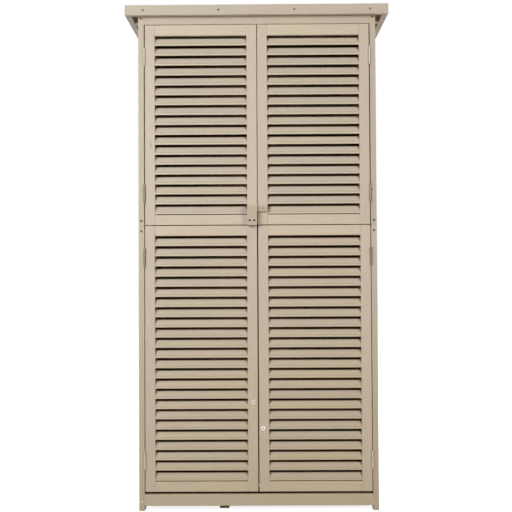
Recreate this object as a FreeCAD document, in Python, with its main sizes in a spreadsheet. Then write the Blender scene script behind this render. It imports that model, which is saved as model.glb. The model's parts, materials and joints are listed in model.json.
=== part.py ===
import FreeCAD, Part
import Sketcher
import os

# Tall garden storage cabinet of painted softwood, with two louvred doors and a sloping roof.
# Millimetres. X to the right, Y to the rear, Z up. The origin is on the ground,
# under the middle of the roof.
#
# The carcass is a lower and an upper pair of side frames, tied by a header, a bottom rail
# and rear rails, with boards between. Each door is a lower and an upper louvred leaf, joined
# by steel plates on the inside, so that one latch at half height holds the pair.
# What is symmetric is made on the right and mirrored to the left.

doc = FreeCAD.newDocument("garden_storage_cabinet")

# Driving dimensions: name, value, meaning.
SIZES = [
    ("fascia_top", 1600, "height of the front edge of the roof"),
    ("roof_rise", 10, "how much higher the rear edge of the roof is"),
    ("front_overhang", 30, "fascia face in front of the door faces"),
    ("rear_overhang", 25, "rear trim behind the back boards"),
    ("side_overhang", 39, "side trims outside the posts"),
    ("trim_height", 32.5, "fascia, side and rear trims"),
    ("trim_thickness", 18, "fascia, side and rear trims"),
    ("trim_lip", 3.5, "trims above the felt"),
    ("deck_thickness", 14, "roof deck"),
    ("felt_thickness", 2.5, "roofing felt"),
    ("roof_bearer_height", 12, "bearers under the deck"),
    ("roof_bearer_width", 30, "bearers under the deck"),
    ("roof_bearer_inset", 40, "roof bearers from the posts"),
    ("body_width", 757, "carcass over the posts"),
    ("body_depth", 410, "carcass from door faces to back boards"),
    ("post_thickness", 18, "posts seen from the front"),
    ("post_depth", 45, "posts seen from the side"),
    ("seam_height", 902, "where the upper leaves meet the lower ones"),
    ("frame_seam_drop", 2, "seam of the side frames under the seam of the leaves"),
    ("header_drop", 55.5, "underside of the front header under the top of the fascia"),
    ("rail_thickness", 18, "header, bottom rail and rear rails"),
    ("rail_height", 36, "bottom, side and rear rails"),
    ("foot_height", 16, "ground to the bottom rails"),
    ("board_thickness", 9, "wall boards"),
    ("board_recess", 5, "wall boards behind the outer faces of the posts"),
    ("side_board_count", 4, "boards in each side panel"),
    ("back_board_count", 8, "boards across the back"),
    ("floor_board_count", 8, "boards across the floor"),
    ("floor_thickness", 12, "floor boards"),
    ("floor_gap", 2, "between floor boards"),
    ("bearer_height", 22, "floor bearers"),
    ("bearer_width", 30, "floor bearers"),
    ("bearer_inset", 22, "floor bearers from the front and rear rails"),
    ("block_width", 30, "support block under the front floor bearer"),
    ("block_offset", 110, "support block left of the middle"),
    ("shelf_thickness", 12, "shelf boards"),
    ("shelf_board_count", 5, "boards in each shelf"),
    ("shelf_gap", 6, "between shelf boards"),
    ("shelf_setback", 12, "shelf fronts behind the door backs"),
    ("low_shelf_top", 329, "top of the low shelf"),
    ("middle_shelf_rise", 34, "top of the middle shelf above the seam of the side frames"),
    ("high_shelf_top", 1240, "top of the high shelf"),
    ("shelf_rail_height", 46, "front rail under the low shelf"),
    ("batten_thickness", 18, "shelf battens and the low shelf's front rail"),
    ("batten_height", 24, "battens of the low and the high shelf"),
    ("tie_batten_height", 40, "middle battens, which tie upper and lower side frames"),
    ("batten_setback", 8, "batten ends behind the door backs"),
    ("door_thickness", 18, "stiles"),
    ("door_meeting_gap", 2, "upper leaf to upper leaf"),
    ("door_top_gap", 1.5, "door to header"),
    ("door_bottom_gap", 8, "door to bottom rail"),
    ("leaf_gap", 2.5, "lower leaf to upper leaf"),
    ("leaf_shift", 0.8, "lower leaves nearer to the posts than the upper ones"),
    ("stile_width", 31.8, "door stiles"),
    ("leaf_rail_height", 32, "rails of the leaves"),
    ("top_rail_height", 34.5, "top rails of the upper leaves"),
    ("leaf_rail_recess", 0.4, "leaf rails behind the faces of the stiles"),
    ("slat_tilt", 25, "degrees from upright"),
    ("slat_thickness", 6, "louvre slats"),
    ("slat_height", 25.2, "upright height that a slat covers"),
    ("slat_facet", 5, "upright front edge of a slat"),
    ("slat_round", 1, "rounded long edges of a slat"),
    ("slat_recess", 1, "slats behind the faces of the stiles"),
    ("slat_foot_gap", 2.4, "lowest slat above its rail"),
    ("upper_slat_count", 18, "slats in an upper leaf"),
    ("lower_slat_count", 24, "slats in a lower leaf"),
    ("hinge_length", 55, "butt hinges"),
    ("hinge_inset", 68, "hinge centres from the rails of a leaf"),
    ("hinge_leaf_width", 20, "butt hinge leaves from the pin"),
    ("hinge_leaf_thickness", 1.2, "butt hinge leaves"),
    ("knuckle_radius", 3.2, "hinge barrel"),
    ("knuckle_gap", 0.3, "between knuckles, and from the pin's plane to each hinge leaf"),
    ("hinge_pin_radius", 1.6, "hinge pin"),
    ("hinge_pin_play", 0.05, "radial play of the pin"),
    ("hinge_pin_cap", 1.5, "height of each pin head"),
    ("plate_length", 100, "joining plates on the door backs"),
    ("plate_width", 20, "joining plates on the door backs"),
    ("plate_thickness", 2, "joining plates on the door backs"),
    ("keeper_width", 31.5, "latch keeper"),
    ("keeper_height", 62, "latch keeper"),
    ("keeper_lip", 12, "keeper wood in front of the latch bar"),
    ("keeper_drop", 1.5, "bottom of the latch keeper under the seam"),
    ("keeper_offset", 1.5, "keeper from the middle of the cabinet"),
    ("keeper_screw_rise", 15, "keeper screws above its bottom"),
    ("keeper_screw_pitch", 15, "between the two keeper screws"),
    ("keeper_screw_length", 36, "shanks of the keeper screws"),
    ("bar_length", 58, "latch bar"),
    ("bar_height", 19, "latch bar"),
    ("bar_thickness", 11, "latch bar"),
    ("bar_play", 0.5, "latch bar to what it lies against"),
    ("bar_rise", 44, "latch bar above the bottom of its keeper"),
    ("bar_pivot_offset", 18, "latch pivot from the middle of the cabinet"),
    ("bar_tail", 14, "latch bar beyond its pivot"),
    ("pivot_radius", 2.2, "shank of the latch pivot screw"),
    ("pivot_bite", 14, "latch pivot screw in the stile"),
    ("pivot_head_radius", 4.5, "head of the latch pivot screw"),
    ("pivot_head_height", 2.4, "head of the latch pivot screw"),
    ("screw_radius", 1.8, "shanks of the frame and keeper screws"),
    ("screw_head_radius", 3.4, "heads of the frame and keeper screws"),
    ("screw_head_height", 1.4, "heads of the frame and keeper screws"),
    ("screw_sink", 0.5, "screw heads under the face of the wood"),
    ("screw_play", 0.05, "radial play of a screw in its hole"),
    ("frame_screw_length", 65, "shanks of the screws through the front posts"),
    ("top_screw_drop", 5, "uppermost post screws under the top edges of their rails"),
    ("seam_screw_reach", 16.5, "post screws from the seam of the side frames"),
    ("low_screw_rise", 12, "lowest post screws above the lower edges of their rails"),
    ("fascia_screw_length", 32, "shanks of the screws through the fascia"),
    ("fascia_screw_inset", 57.5, "outer fascia screws from the ends of the fascia"),
    ("fascia_screw_rise", 16, "fascia screws above its lower edge"),
    ("strike_offset", 15, "strikes and magnetic catches from the middle of the cabinet"),
    ("strike_head_radius", 5.6, "heads of the strike plate screws"),
    ("strike_head_height", 2.8, "heads of the strike plate screws"),
    ("strike_screw_radius", 2, "shanks of the strike plate screws"),
    ("strike_width", 20, "strike plates"),
    ("strike_height", 34, "strike plates"),
    ("strike_thickness", 1.5, "strike plates"),
    ("catch_width", 25, "magnetic catch housings"),
    ("catch_height", 24, "magnetic catch housings"),
    ("catch_length", 42, "magnetic catch housings"),
    ("catch_air", 0.4, "magnet to strike plate"),
    ("edge_ease", 1, "chamfer along the edges of the wood"),
]

sheet = doc.addObject("Spreadsheet::Sheet", "Sizes")
for row, (alias, value, meaning) in enumerate(SIZES, start=1):
    sheet.set("A" + str(row), meaning)
    sheet.set("B" + str(row), str(value))
    sheet.setAlias("B" + str(row), alias)
doc.recompute()

nodes = []


def number(expression):
    # What an expression on the sheet gives now.
    result = sheet.evalExpression(str(expression))
    return float(getattr(result, "Value", result))


def bind(thing, **expressions):
    for prop, expression in expressions.items():
        thing.setExpression(prop, str(expression))


def put(thing, corner):
    for axis, expression in zip("xyz", corner):
        thing.setExpression("Placement.Base." + axis, str(expression))


def node(label, thing):
    # A finished sub-part, which is written under its label.
    thing.Label = label
    nodes.append(thing)
    return thing


def box(name, corner, size):
    piece = doc.addObject("Part::Box", name)
    bind(piece, Length=size[0], Width=size[1], Height=size[2])
    put(piece, corner)
    return piece


def board(name, corner, size):
    # A piece of sawn wood: a box with its edges eased.
    piece = doc.addObject("Part::Chamfer", name)
    piece.Base = box(name + "_blank", corner, size)
    ease = number("Sizes.edge_ease")
    piece.Edges = [(edge, ease, ease) for edge in range(1, 13)]
    return piece


def rod(name, start, direction, radius, length):
    # A cylinder from its start along X, Y or Z.
    turns = {"x": ((0, 1, 0), 90), "y": ((1, 0, 0), -90), "z": ((0, 0, 1), 0)}
    axis, angle = turns[direction]
    rotation = FreeCAD.Rotation(FreeCAD.Vector(*axis), angle)
    piece = doc.addObject("Part::Cylinder", name)
    piece.Placement = FreeCAD.Placement(FreeCAD.Vector(0, 0, 0), rotation)
    bind(piece, Radius=radius, Height=length)
    put(piece, start)
    return piece


def group(name, pieces):
    piece = doc.addObject("Part::Compound", name)
    piece.Links = pieces
    return piece


def fused(name, pieces):
    piece = doc.addObject("Part::MultiFuse", name)
    piece.Shapes = pieces
    return piece


def cut(name, base, tools):
    piece = doc.addObject("Part::Cut", name)
    piece.Base = base
    piece.Tool = group(name + "_tools", tools)
    return piece


def mirrored(name, source):
    # The same piece on the left of the cabinet.
    piece = doc.addObject("Part::Mirroring", name)
    piece.Source = source
    piece.Normal = FreeCAD.Vector(1, 0, 0)
    return piece


def pair(label, source):
    # A sub-part on the right and its mirror image on the left.
    node("right_" + label, source)
    node("left_" + label, mirrored("left_" + label, source))


def plane_of(body, role):
    return next(item for item in body.Origin.OriginFeatures if item.Role == role)


def outline_body(name, corner, width, points):
    # A body whose outline of (y, z) points runs along X for its width.
    body = doc.addObject("PartDesign::Body", name)
    body.AllowCompound = True
    sketch = body.newObject("Sketcher::SketchObject", name + "_outline")
    sketch.AttachmentSupport = [(plane_of(body, "YZ_Plane"), "")]
    sketch.MapMode = "FlatFace"
    spots = [FreeCAD.Vector(number(y), number(z), 0) for y, z in points]
    following = list(range(1, len(spots))) + [0]
    for index, after in enumerate(following):
        sketch.addGeometry(Part.LineSegment(spots[index], spots[after]), False)
    for index, after in enumerate(following):
        sketch.addConstraint(Sketcher.Constraint("Coincident", index, 2, after, 1))
    for index, (y, z) in enumerate(points):
        for kind, axis, place in (("DistanceX", -2, y), ("DistanceY", -1, z)):
            if place == 0:
                sketch.addConstraint(Sketcher.Constraint("PointOnObject", index, 1, axis))
                continue
            rule = Sketcher.Constraint(kind, -1, 1, index, 1, number(place))
            rank = sketch.addConstraint(rule)
            sketch.setExpression("Constraints[" + str(rank) + "]", place)
    pad = body.newObject("PartDesign::Pad", name + "_length")
    pad.Profile = sketch
    bind(pad, Length=width)
    body.Tip = pad
    put(body, corner)
    return body, sketch, pad


def eased_body(name, corner, width, points):
    body, _, pad = outline_body(name, corner, width, points)
    doc.recompute()
    ease = body.newObject("PartDesign::Chamfer", name + "_ease")
    ease.Base = (pad, [""])
    ease.UseAllEdges = True
    bind(ease, Size="Sizes.edge_ease")
    body.Tip = ease
    return body


# Places that several pieces share, as expressions on the sheet.
ROOF_WIDTH = "(Sizes.body_width + 2 * Sizes.side_overhang)"
ROOF_DEPTH = "(Sizes.front_overhang + Sizes.body_depth + Sizes.rear_overhang)"
ROOF_FRONT = f"(-{ROOF_DEPTH} / 2)"
FRONT = f"({ROOF_FRONT} + Sizes.front_overhang)"
BACK = f"({FRONT} + Sizes.body_depth)"
POST_OUT = "(Sizes.body_width / 2)"
POST_IN = f"({POST_OUT} - Sizes.post_thickness)"
INSIDE_WIDTH = f"(2 * {POST_IN})"
RAIL_BACK = f"({FRONT} + Sizes.rail_thickness)"
DOOR_BACK = f"({FRONT} + Sizes.door_thickness)"
BOARDS_IN = f"({BACK} - Sizes.board_thickness)"
REAR_RAIL_IN = f"({BOARDS_IN} - Sizes.rail_thickness)"
FRAME_FRONT = f"({FRONT} + Sizes.post_depth)"
FRAME_BACK = f"({BACK} - Sizes.post_depth)"
FRAME_LENGTH = "(Sizes.body_depth - 2 * Sizes.post_depth)"
SILL_TOP = "(Sizes.foot_height + Sizes.rail_height)"
FRAME_SEAM = "(Sizes.seam_height - Sizes.frame_seam_drop)"
HEADER_LOW = "(Sizes.fascia_top - Sizes.header_drop)"
SLOPE = f"(Sizes.roof_rise / {ROOF_DEPTH})"
ROOF_IN = f"({ROOF_WIDTH} / 2 - Sizes.trim_thickness)"
TRIM_BACK = f"({ROOF_FRONT} + Sizes.trim_thickness)"
ROOF_LAYERS = "(Sizes.trim_lip + Sizes.felt_thickness + Sizes.deck_thickness)"


def under_deck(place):
    # Height of the underside of the deck at a place along Y.
    return f"(Sizes.fascia_top - {ROOF_LAYERS} + {SLOPE} * ({place} - {ROOF_FRONT}))"


def sloping(length, height):
    # The outline of a piece that follows the slope of the roof.
    rise = f"{SLOPE} * {length}"
    return [(0, 0), (length, rise), (length, f"{height} + {rise}"), (0, height)]


def screw(name, x, face, z, length):
    # A countersunk screw that enters a face towards the rear.
    seat = f"{face} + Sizes.screw_sink"
    under_head = f"{seat} + Sizes.screw_head_height"
    head = rod(name + "_head", (x, seat, z), "y",
               "Sizes.screw_head_radius", "Sizes.screw_head_height")
    shank = rod(name + "_shank", (x, under_head, z), "y", "Sizes.screw_radius", length)
    return fused(name, [head, shank])


def screw_hole(name, x, face, z, length):
    # The hole of such a screw: a round recess for its head and a bore for its shank.
    depth = "(Sizes.screw_sink + Sizes.screw_head_height)"
    recess = rod(name + "_recess", (x, face, z), "y",
                 "Sizes.screw_head_radius + Sizes.screw_play", depth)
    bore = rod(name + "_bore", (x, face, z), "y",
               "Sizes.screw_radius + Sizes.screw_play",
               f"{depth} + {length} + Sizes.screw_play")
    return [recess, bore]


def make_roof():
    width = ROOF_WIDTH
    thick = "Sizes.trim_thickness"
    height = "Sizes.trim_height"
    left = f"-{width} / 2"
    low = f"Sizes.fascia_top - {height}"
    length = f"({ROOF_DEPTH} - 2 * {thick})"

    fascia = board("fascia_board", (left, ROOF_FRONT, low), (width, thick, height))
    holes = []
    screws = []
    reach = f"({width} / 2 - Sizes.fascia_screw_inset)"
    for rank, share in enumerate(("-1", "-1/3", "1/3", "1"), start=1):
        spot = (f"{share} * {reach}", ROOF_FRONT, f"{low} + Sizes.fascia_screw_rise")
        name = f"fascia_screw_{rank}"
        screws.append(screw(name, *spot, "Sizes.fascia_screw_length"))
        holes.append(screw_hole(name + "_hole", *spot, "Sizes.fascia_screw_length"))
    drills = [tool for hole in holes for tool in hole]
    node("fascia", cut("fascia", fascia, drills))

    corner = (left, f"{ROOF_DEPTH} / 2 - {thick}", f"{low} + Sizes.roof_rise")
    node("rear_trim", board("rear_trim", corner, (width, thick, height)))
    pair("side_trim", eased_body("right_side_trim",
                                 (ROOF_IN, TRIM_BACK, f"{low} + {SLOPE} * {thick}"),
                                 thick, sloping(length, height)))

    deck_low = under_deck(TRIM_BACK)
    deck_width = f"2 * {ROOF_IN}"
    deck = eased_body("deck_board", (f"-{ROOF_IN}", TRIM_BACK, deck_low), deck_width,
                      sloping(length, "Sizes.deck_thickness"))
    node("roof_deck", cut("roof_deck", deck, drills))
    felt, _, _ = outline_body("roofing_felt",
                              (f"-{ROOF_IN}", TRIM_BACK, f"{deck_low} + Sizes.deck_thickness"),
                              deck_width, sloping(length, "Sizes.felt_thickness"))
    node("roofing_felt", felt)

    bearers = []
    front = f"({FRAME_FRONT} + Sizes.roof_bearer_inset)"
    rear = f"({FRAME_BACK} - Sizes.roof_bearer_inset - Sizes.roof_bearer_width)"
    for name, place in (("front_roof_bearer", front), ("rear_roof_bearer", rear)):
        corner = (f"-{ROOF_IN}", place, f"{under_deck(place)} - Sizes.roof_bearer_height")
        bearers.append(eased_body(name, corner, deck_width,
                                  sloping("Sizes.roof_bearer_width", "Sizes.roof_bearer_height")))
    node("roof_bearers", group("roof_bearers", bearers))
    return screws


def make_side_frames():
    # Posts and rails. The front posts are screwed to the ends of the rails.
    top_rail_low = f"({under_deck(FRAME_FRONT)} - Sizes.roof_bearer_height - Sizes.rail_height)"
    middle = f"{POST_IN} + Sizes.post_thickness / 2"
    rail_rows = {
        "lower": ("Sizes.foot_height", f"({FRAME_SEAM} - Sizes.rail_height)"),
        "upper": (FRAME_SEAM, top_rail_low),
    }
    screw_heights = {
        "lower": ("Sizes.low_screw_rise", "Sizes.rail_height - Sizes.seam_screw_reach"),
        "upper": ("Sizes.seam_screw_reach", "Sizes.rail_height - Sizes.top_screw_drop"),
    }
    spans = {"lower": ("0", FRAME_SEAM), "upper": (FRAME_SEAM, None)}
    screws = []
    rails = []
    rear_posts = []
    for level, (low, high) in spans.items():
        drills = []
        rows = zip(("bottom", "top"), rail_rows[level], screw_heights[level])
        for place, rail_low, height in rows:
            name = f"{level}_{place}_rail"
            spot = (middle, FRONT, f"{rail_low} + {height}")
            screws.append(screw(name + "_screw", *spot, "Sizes.frame_screw_length"))
            hole = screw_hole(name + "_hole", *spot, "Sizes.frame_screw_length")
            drills += hole
            corner = (POST_IN, FRAME_FRONT, rail_low)
            blank = eased_body(name + "_board", corner, "Sizes.post_thickness",
                               rail_outline(level, place))
            rails.append(cut(name, blank, hole))
        for end, place in (("front", FRONT), ("rear", FRAME_BACK)):
            top = high or under_deck(place)
            size = ("Sizes.post_thickness", "Sizes.post_depth", f"{top} - {low}")
            post = board(f"{end}_post_{level}_board", (POST_IN, place, low), size)
            if end == "front":
                pair(f"front_post_{level}", cut(f"front_post_{level}", post, drills))
            else:
                rear_posts.append(post)
    pair("rear_posts", group("rear_posts", rear_posts))
    pair("side_rails", group("side_rails", rails))
    return screws


def rail_outline(level, place):
    # Only the uppermost side rails follow the roof.
    if (level, place) == ("upper", "top"):
        return sloping(FRAME_LENGTH, "Sizes.rail_height")
    return [(0, 0), (FRAME_LENGTH, 0), (FRAME_LENGTH, "Sizes.rail_height"),
            (0, "Sizes.rail_height")]


def make_walls():
    outer = f"({POST_OUT} - Sizes.board_recess - Sizes.board_thickness)"
    width = f"({FRAME_LENGTH} / Sizes.side_board_count)"
    rail_under = (f"({under_deck(FRAME_FRONT)} - Sizes.roof_bearer_height"
                  " - Sizes.rail_height)")
    lower_low = SILL_TOP
    lower_height = f"({FRAME_SEAM} - Sizes.rail_height - {SILL_TOP})"
    upper_low = f"({FRAME_SEAM} + Sizes.rail_height)"
    lower = []
    upper = []
    for index in range(int(number("Sizes.side_board_count"))):
        start = f"({index} * {width})"
        place = f"({FRAME_FRONT} + {start})"
        lower.append(board(f"side_board_lower_{index + 1}", (outer, place, lower_low),
                           ("Sizes.board_thickness", width, lower_height)))
        height = f"({rail_under} + {SLOPE} * {start} - {upper_low})"
        outline = [(0, 0), (width, 0), (width, f"{height} + {SLOPE} * {width}"), (0, height)]
        upper.append(eased_body(f"side_board_upper_{index + 1}", (outer, place, upper_low),
                                "Sizes.board_thickness", outline))
    pair("side_boards_lower", group("side_boards_lower", lower))
    pair("side_boards_upper", group("side_boards_upper", upper))

    width = f"({INSIDE_WIDTH} / Sizes.back_board_count)"
    rows = {
        "lower": ("Sizes.foot_height", FRAME_SEAM),
        "upper": (FRAME_SEAM, under_deck(BOARDS_IN)),
    }
    for level, (low, high) in rows.items():
        boards = []
        for index in range(int(number("Sizes.back_board_count"))):
            corner = (f"-{POST_IN} + {index} * {width}", BOARDS_IN, low)
            boards.append(board(f"back_board_{level}_{index + 1}", corner,
                                (width, "Sizes.board_thickness", f"{high} - {low}")))
        node(f"back_boards_{level}", group(f"back_boards_{level}", boards))


def make_cross_rails():
    size = (INSIDE_WIDTH, "Sizes.rail_thickness", "Sizes.rail_height")
    node("bottom_rail", board("bottom_rail", (f"-{POST_IN}", FRONT, "Sizes.foot_height"), size))
    header_size = (INSIDE_WIDTH, "Sizes.rail_thickness", f"{under_deck(FRONT)} - {HEADER_LOW}")
    node("header_rail", board("header_rail", (f"-{POST_IN}", FRONT, HEADER_LOW), header_size))
    lows = ("Sizes.foot_height", f"{FRAME_SEAM} - Sizes.rail_height / 2",
            f"{under_deck(REAR_RAIL_IN)} - Sizes.rail_height")
    rails = [board(f"rear_rail_{rank}", (f"-{POST_IN}", REAR_RAIL_IN, low), size)
             for rank, low in enumerate(lows, start=1)]
    node("rear_rails", group("rear_rails", rails))


def make_floor():
    width = f"(({INSIDE_WIDTH} + Sizes.floor_gap) / Sizes.floor_board_count - Sizes.floor_gap)"
    low = f"({SILL_TOP} - Sizes.floor_thickness)"
    boards = []
    for index in range(int(number("Sizes.floor_board_count"))):
        corner = (f"-{POST_IN} + {index} * ({width} + Sizes.floor_gap)", RAIL_BACK, low)
        size = (width, f"{REAR_RAIL_IN} - {RAIL_BACK}", "Sizes.floor_thickness")
        boards.append(board(f"floor_board_{index + 1}", corner, size))
    node("floor_boards", group("floor_boards", boards))

    bearer_low = f"({low} - Sizes.bearer_height)"
    front = f"({RAIL_BACK} + Sizes.bearer_inset)"
    rear = f"({REAR_RAIL_IN} - Sizes.bearer_inset - Sizes.bearer_width)"
    size = (INSIDE_WIDTH, "Sizes.bearer_width", "Sizes.bearer_height")
    bearers = [board(name, (f"-{POST_IN}", place, bearer_low), size)
               for name, place in (("front_floor_bearer", front), ("rear_floor_bearer", rear))]
    node("floor_bearers", group("floor_bearers", bearers))
    corner = ("-Sizes.block_offset - Sizes.block_width / 2", front, "0")
    node("support_block", board("support_block", corner,
                                ("Sizes.block_width", "Sizes.bearer_width", bearer_low)))


def make_shelves():
    front = f"({DOOR_BACK} + Sizes.shelf_setback)"
    depth = f"({REAR_RAIL_IN} - {front})"
    width = f"(({depth} + Sizes.shelf_gap) / Sizes.shelf_board_count - Sizes.shelf_gap)"
    batten_front = f"({DOOR_BACK} + Sizes.batten_setback)"
    batten_in = f"({POST_IN} - Sizes.batten_thickness)"
    battens = []
    rows = (("low", "Sizes.low_shelf_top", "Sizes.batten_height"),
            ("middle", f"({FRAME_SEAM} + Sizes.middle_shelf_rise)",
             "Sizes.tie_batten_height"),
            ("high", "Sizes.high_shelf_top", "Sizes.batten_height"))
    for name, top, batten_height in rows:
        low = f"({top} - Sizes.shelf_thickness)"
        boards = []
        for index in range(int(number("Sizes.shelf_board_count"))):
            place = f"{front} + {index} * ({width} + Sizes.shelf_gap)"
            boards.append(board(f"{name}_shelf_board_{index + 1}", (f"-{POST_IN}", place, low),
                                (INSIDE_WIDTH, width, "Sizes.shelf_thickness")))
        node(f"{name}_shelf", group(f"{name}_shelf", boards))
        corner = (batten_in, batten_front, f"{low} - {batten_height}")
        batten = board(f"{name}_batten", corner,
                       ("Sizes.batten_thickness", f"{REAR_RAIL_IN} - {batten_front}",
                        batten_height))
        battens += [batten, mirrored(f"left_{name}_batten", batten)]
    node("shelf_battens", group("shelf_battens", battens))
    corner = (f"-{batten_in}", front,
              "Sizes.low_shelf_top - Sizes.shelf_thickness - Sizes.shelf_rail_height")
    size = (f"2 * {batten_in}", "Sizes.batten_thickness", "Sizes.shelf_rail_height")
    node("low_shelf_rail", board("low_shelf_rail", corner, size))


# The hinge pins stand in front of the gap between door and post, which is as wide as the
# closed hinge. The upper leaves leave that gap, and the lower ones are let in around it.
PIN_X = f"({POST_IN} - Sizes.hinge_leaf_thickness - Sizes.knuckle_gap)"
PIN_Y = f"({FRONT} - Sizes.knuckle_radius)"
HINGE_IN = f"({PIN_X} - Sizes.knuckle_gap - Sizes.hinge_leaf_thickness)"
HINGE_BACK = f"({PIN_Y} + Sizes.hinge_leaf_width)"

# The two leaves of the right door: inner and outer edge, bottom and top.
EDGES = {
    "lower": ("(Sizes.door_meeting_gap / 2 + Sizes.leaf_shift)",
              f"({HINGE_IN} + Sizes.leaf_shift)"),
    "upper": ("(Sizes.door_meeting_gap / 2)", HINGE_IN),
}
OPENING_WIDTH = f"({HINGE_IN} - Sizes.door_meeting_gap / 2 - 2 * Sizes.stile_width)"
LEAVES = {
    "lower": (f"({SILL_TOP} + Sizes.door_bottom_gap)",
              "(Sizes.seam_height - Sizes.leaf_gap / 2)"),
    "upper": ("(Sizes.seam_height + Sizes.leaf_gap / 2)",
              f"({HEADER_LOW} - Sizes.door_top_gap)"),
}
TOP_RAILS = {"lower": "Sizes.leaf_rail_height", "upper": "Sizes.top_rail_height"}


def hinge_bottoms(level):
    # Heights of the undersides of the two hinges of a leaf.
    low, high = LEAVES[level]
    reach = "Sizes.hinge_inset"
    half = "Sizes.hinge_length / 2"
    return {"bottom": f"({low} + Sizes.leaf_rail_height + {reach} - {half})",
            "top": f"({high} - {TOP_RAILS[level]} - {reach} - {half})"}


def slat_outline():
    # A tilted slat: upright at its front edge, level underneath.
    lean = "tan(Sizes.slat_tilt * 1 deg)"
    run = f"((Sizes.slat_height - Sizes.slat_facet) * {lean})"
    back = f"({run} + Sizes.slat_thickness * cos(Sizes.slat_tilt * 1 deg))"
    back_height = "(Sizes.slat_height - Sizes.slat_thickness * sin(Sizes.slat_tilt * 1 deg))"
    foot = f"({back} - {back_height} * {lean})"
    return [(0, 0), (0, "Sizes.slat_facet"), (run, "Sizes.slat_height"),
            (back, back_height), (foot, 0)]


def make_slats(level, low, high):
    opening_low = f"({low} + Sizes.leaf_rail_height + Sizes.slat_foot_gap)"
    pitch = (f"(({high} - {TOP_RAILS[level]} - {opening_low})"
             f" / Sizes.{level}_slat_count)")
    corner = (f"{EDGES[level][0]} + Sizes.stile_width", f"{FRONT} + Sizes.slat_recess",
              opening_low)
    name = level + "_slats"
    body, sketch, pad = outline_body(name, corner, OPENING_WIDTH, slat_outline())
    doc.recompute()
    long_edges = []
    for rank, edge in enumerate(pad.Shape.Edges, start=1):
        along = edge.Vertexes[1].Point - edge.Vertexes[0].Point
        if abs(along.x) > abs(along.y) + abs(along.z):
            long_edges.append("Edge" + str(rank))
    rounded = body.newObject("PartDesign::Fillet", name + "_round")
    rounded.Base = (pad, long_edges)
    bind(rounded, Radius="Sizes.slat_round")
    body.Tip = rounded
    doc.recompute()
    rows = body.newObject("PartDesign::LinearPattern", name + "_rows")
    rows.TransformMode = "Whole shape"
    rows.Direction = (sketch, ["V_Axis"])
    bind(rows, Length=f"{pitch} * (Sizes.{level}_slat_count - 1)",
         Occurrences=f"Sizes.{level}_slat_count")
    body.Tip = rows
    return body


def make_doors():
    # Leaves of the right door. The stiles are returned plain, to be drilled for each side.
    stiles = {}
    for level, (low, high) in LEAVES.items():
        near, far = EDGES[level]
        size = ("Sizes.stile_width", "Sizes.door_thickness", f"{high} - {low}")
        inner = board(f"{level}_inner_stile", (near, FRONT, low), size)
        outer = board(f"{level}_outer_stile", (f"{far} - Sizes.stile_width", FRONT, low), size)
        if level == "lower":
            outer = cut("lower_outer_stile_let_in", outer, hinge_recesses(level))
        stiles[level] = (inner, outer)
        thick = "Sizes.door_thickness - 2 * Sizes.leaf_rail_recess"
        opening = f"{near} + Sizes.stile_width"
        place = f"{FRONT} + Sizes.leaf_rail_recess"
        top = TOP_RAILS[level]
        rails = [board(f"{level}_{end}_leaf_rail", (opening, place, rail_low),
                       (OPENING_WIDTH, thick, height))
                 for end, rail_low, height in (("bottom", low, "Sizes.leaf_rail_height"),
                                               ("top", f"{high} - {top}", top))]
        pair(f"{level}_leaf_rails", group(f"{level}_leaf_rails", rails))
        pair(f"{level}_slats", make_slats(level, low, high))

    plates = []
    near, far = EDGES["upper"]
    for name, middle in (("inner", f"({near} + Sizes.stile_width / 2)"),
                         ("outer", f"({far} - Sizes.stile_width / 2)")):
        corner = (f"{middle} - Sizes.plate_width / 2", DOOR_BACK,
                  "Sizes.seam_height - Sizes.plate_length / 2")
        plates.append(box(f"{name}_joining_plate", corner,
                          ("Sizes.plate_width", "Sizes.plate_thickness", "Sizes.plate_length")))
    pair("joining_plates", group("joining_plates", plates))
    return stiles


def hinge_recesses(level):
    # Where the hinges are let into the edge of a leaf.
    size = ("2 * Sizes.leaf_shift", f"{HINGE_BACK} - {FRONT}", "Sizes.hinge_length")
    return [box(f"{level}_{end}_recess", (HINGE_IN, FRONT, low), size)
            for end, low in hinge_bottoms(level).items()]


def make_stiles(side, level, stiles, drills):
    inner, outer = stiles
    if side == "left":
        inner = mirrored(f"left_{level}_inner_stile", inner)
        outer = mirrored(f"left_{level}_outer_stile", outer)
    inner = cut(f"{side}_{level}_inner_stile_drilled", inner, drills)
    name = f"{side}_{level}_stiles"
    node(name, group(name, [inner, outer]))


KNUCKLES = 5
KNUCKLE_PITCH = f"((Sizes.hinge_length + Sizes.knuckle_gap) / {KNUCKLES})"


def hinge_leaf(name, low, plate_x, first):
    # A plate with every second knuckle, bored for the pin.
    thick = "Sizes.hinge_leaf_thickness"
    plate_front = f"({FRONT} + Sizes.knuckle_gap)"
    plate = box(name + "_plate", (plate_x, plate_front, low),
                (thick, f"{HINGE_BACK} - {plate_front}", "Sizes.hinge_length"))
    pieces = [plate]
    height = f"({KNUCKLE_PITCH} - Sizes.knuckle_gap)"
    for rank in range(first, KNUCKLES, 2):
        knuckle_low = f"({low} + {rank} * {KNUCKLE_PITCH})"
        pieces.append(rod(f"{name}_knuckle_{rank}", (PIN_X, PIN_Y, knuckle_low), "z",
                          "Sizes.knuckle_radius", height))
        pieces.append(box(f"{name}_tab_{rank}", (plate_x, PIN_Y, knuckle_low),
                          (thick, f"{plate_front} + {thick} - {PIN_Y}", height)))
    bore = rod(name + "_bore", (PIN_X, PIN_Y, f"{low} - Sizes.knuckle_gap"), "z",
               "Sizes.hinge_pin_radius + Sizes.hinge_pin_play",
               "Sizes.hinge_length + 2 * Sizes.knuckle_gap")
    return cut(name, fused(name + "_bent", pieces), [bore])


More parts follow.
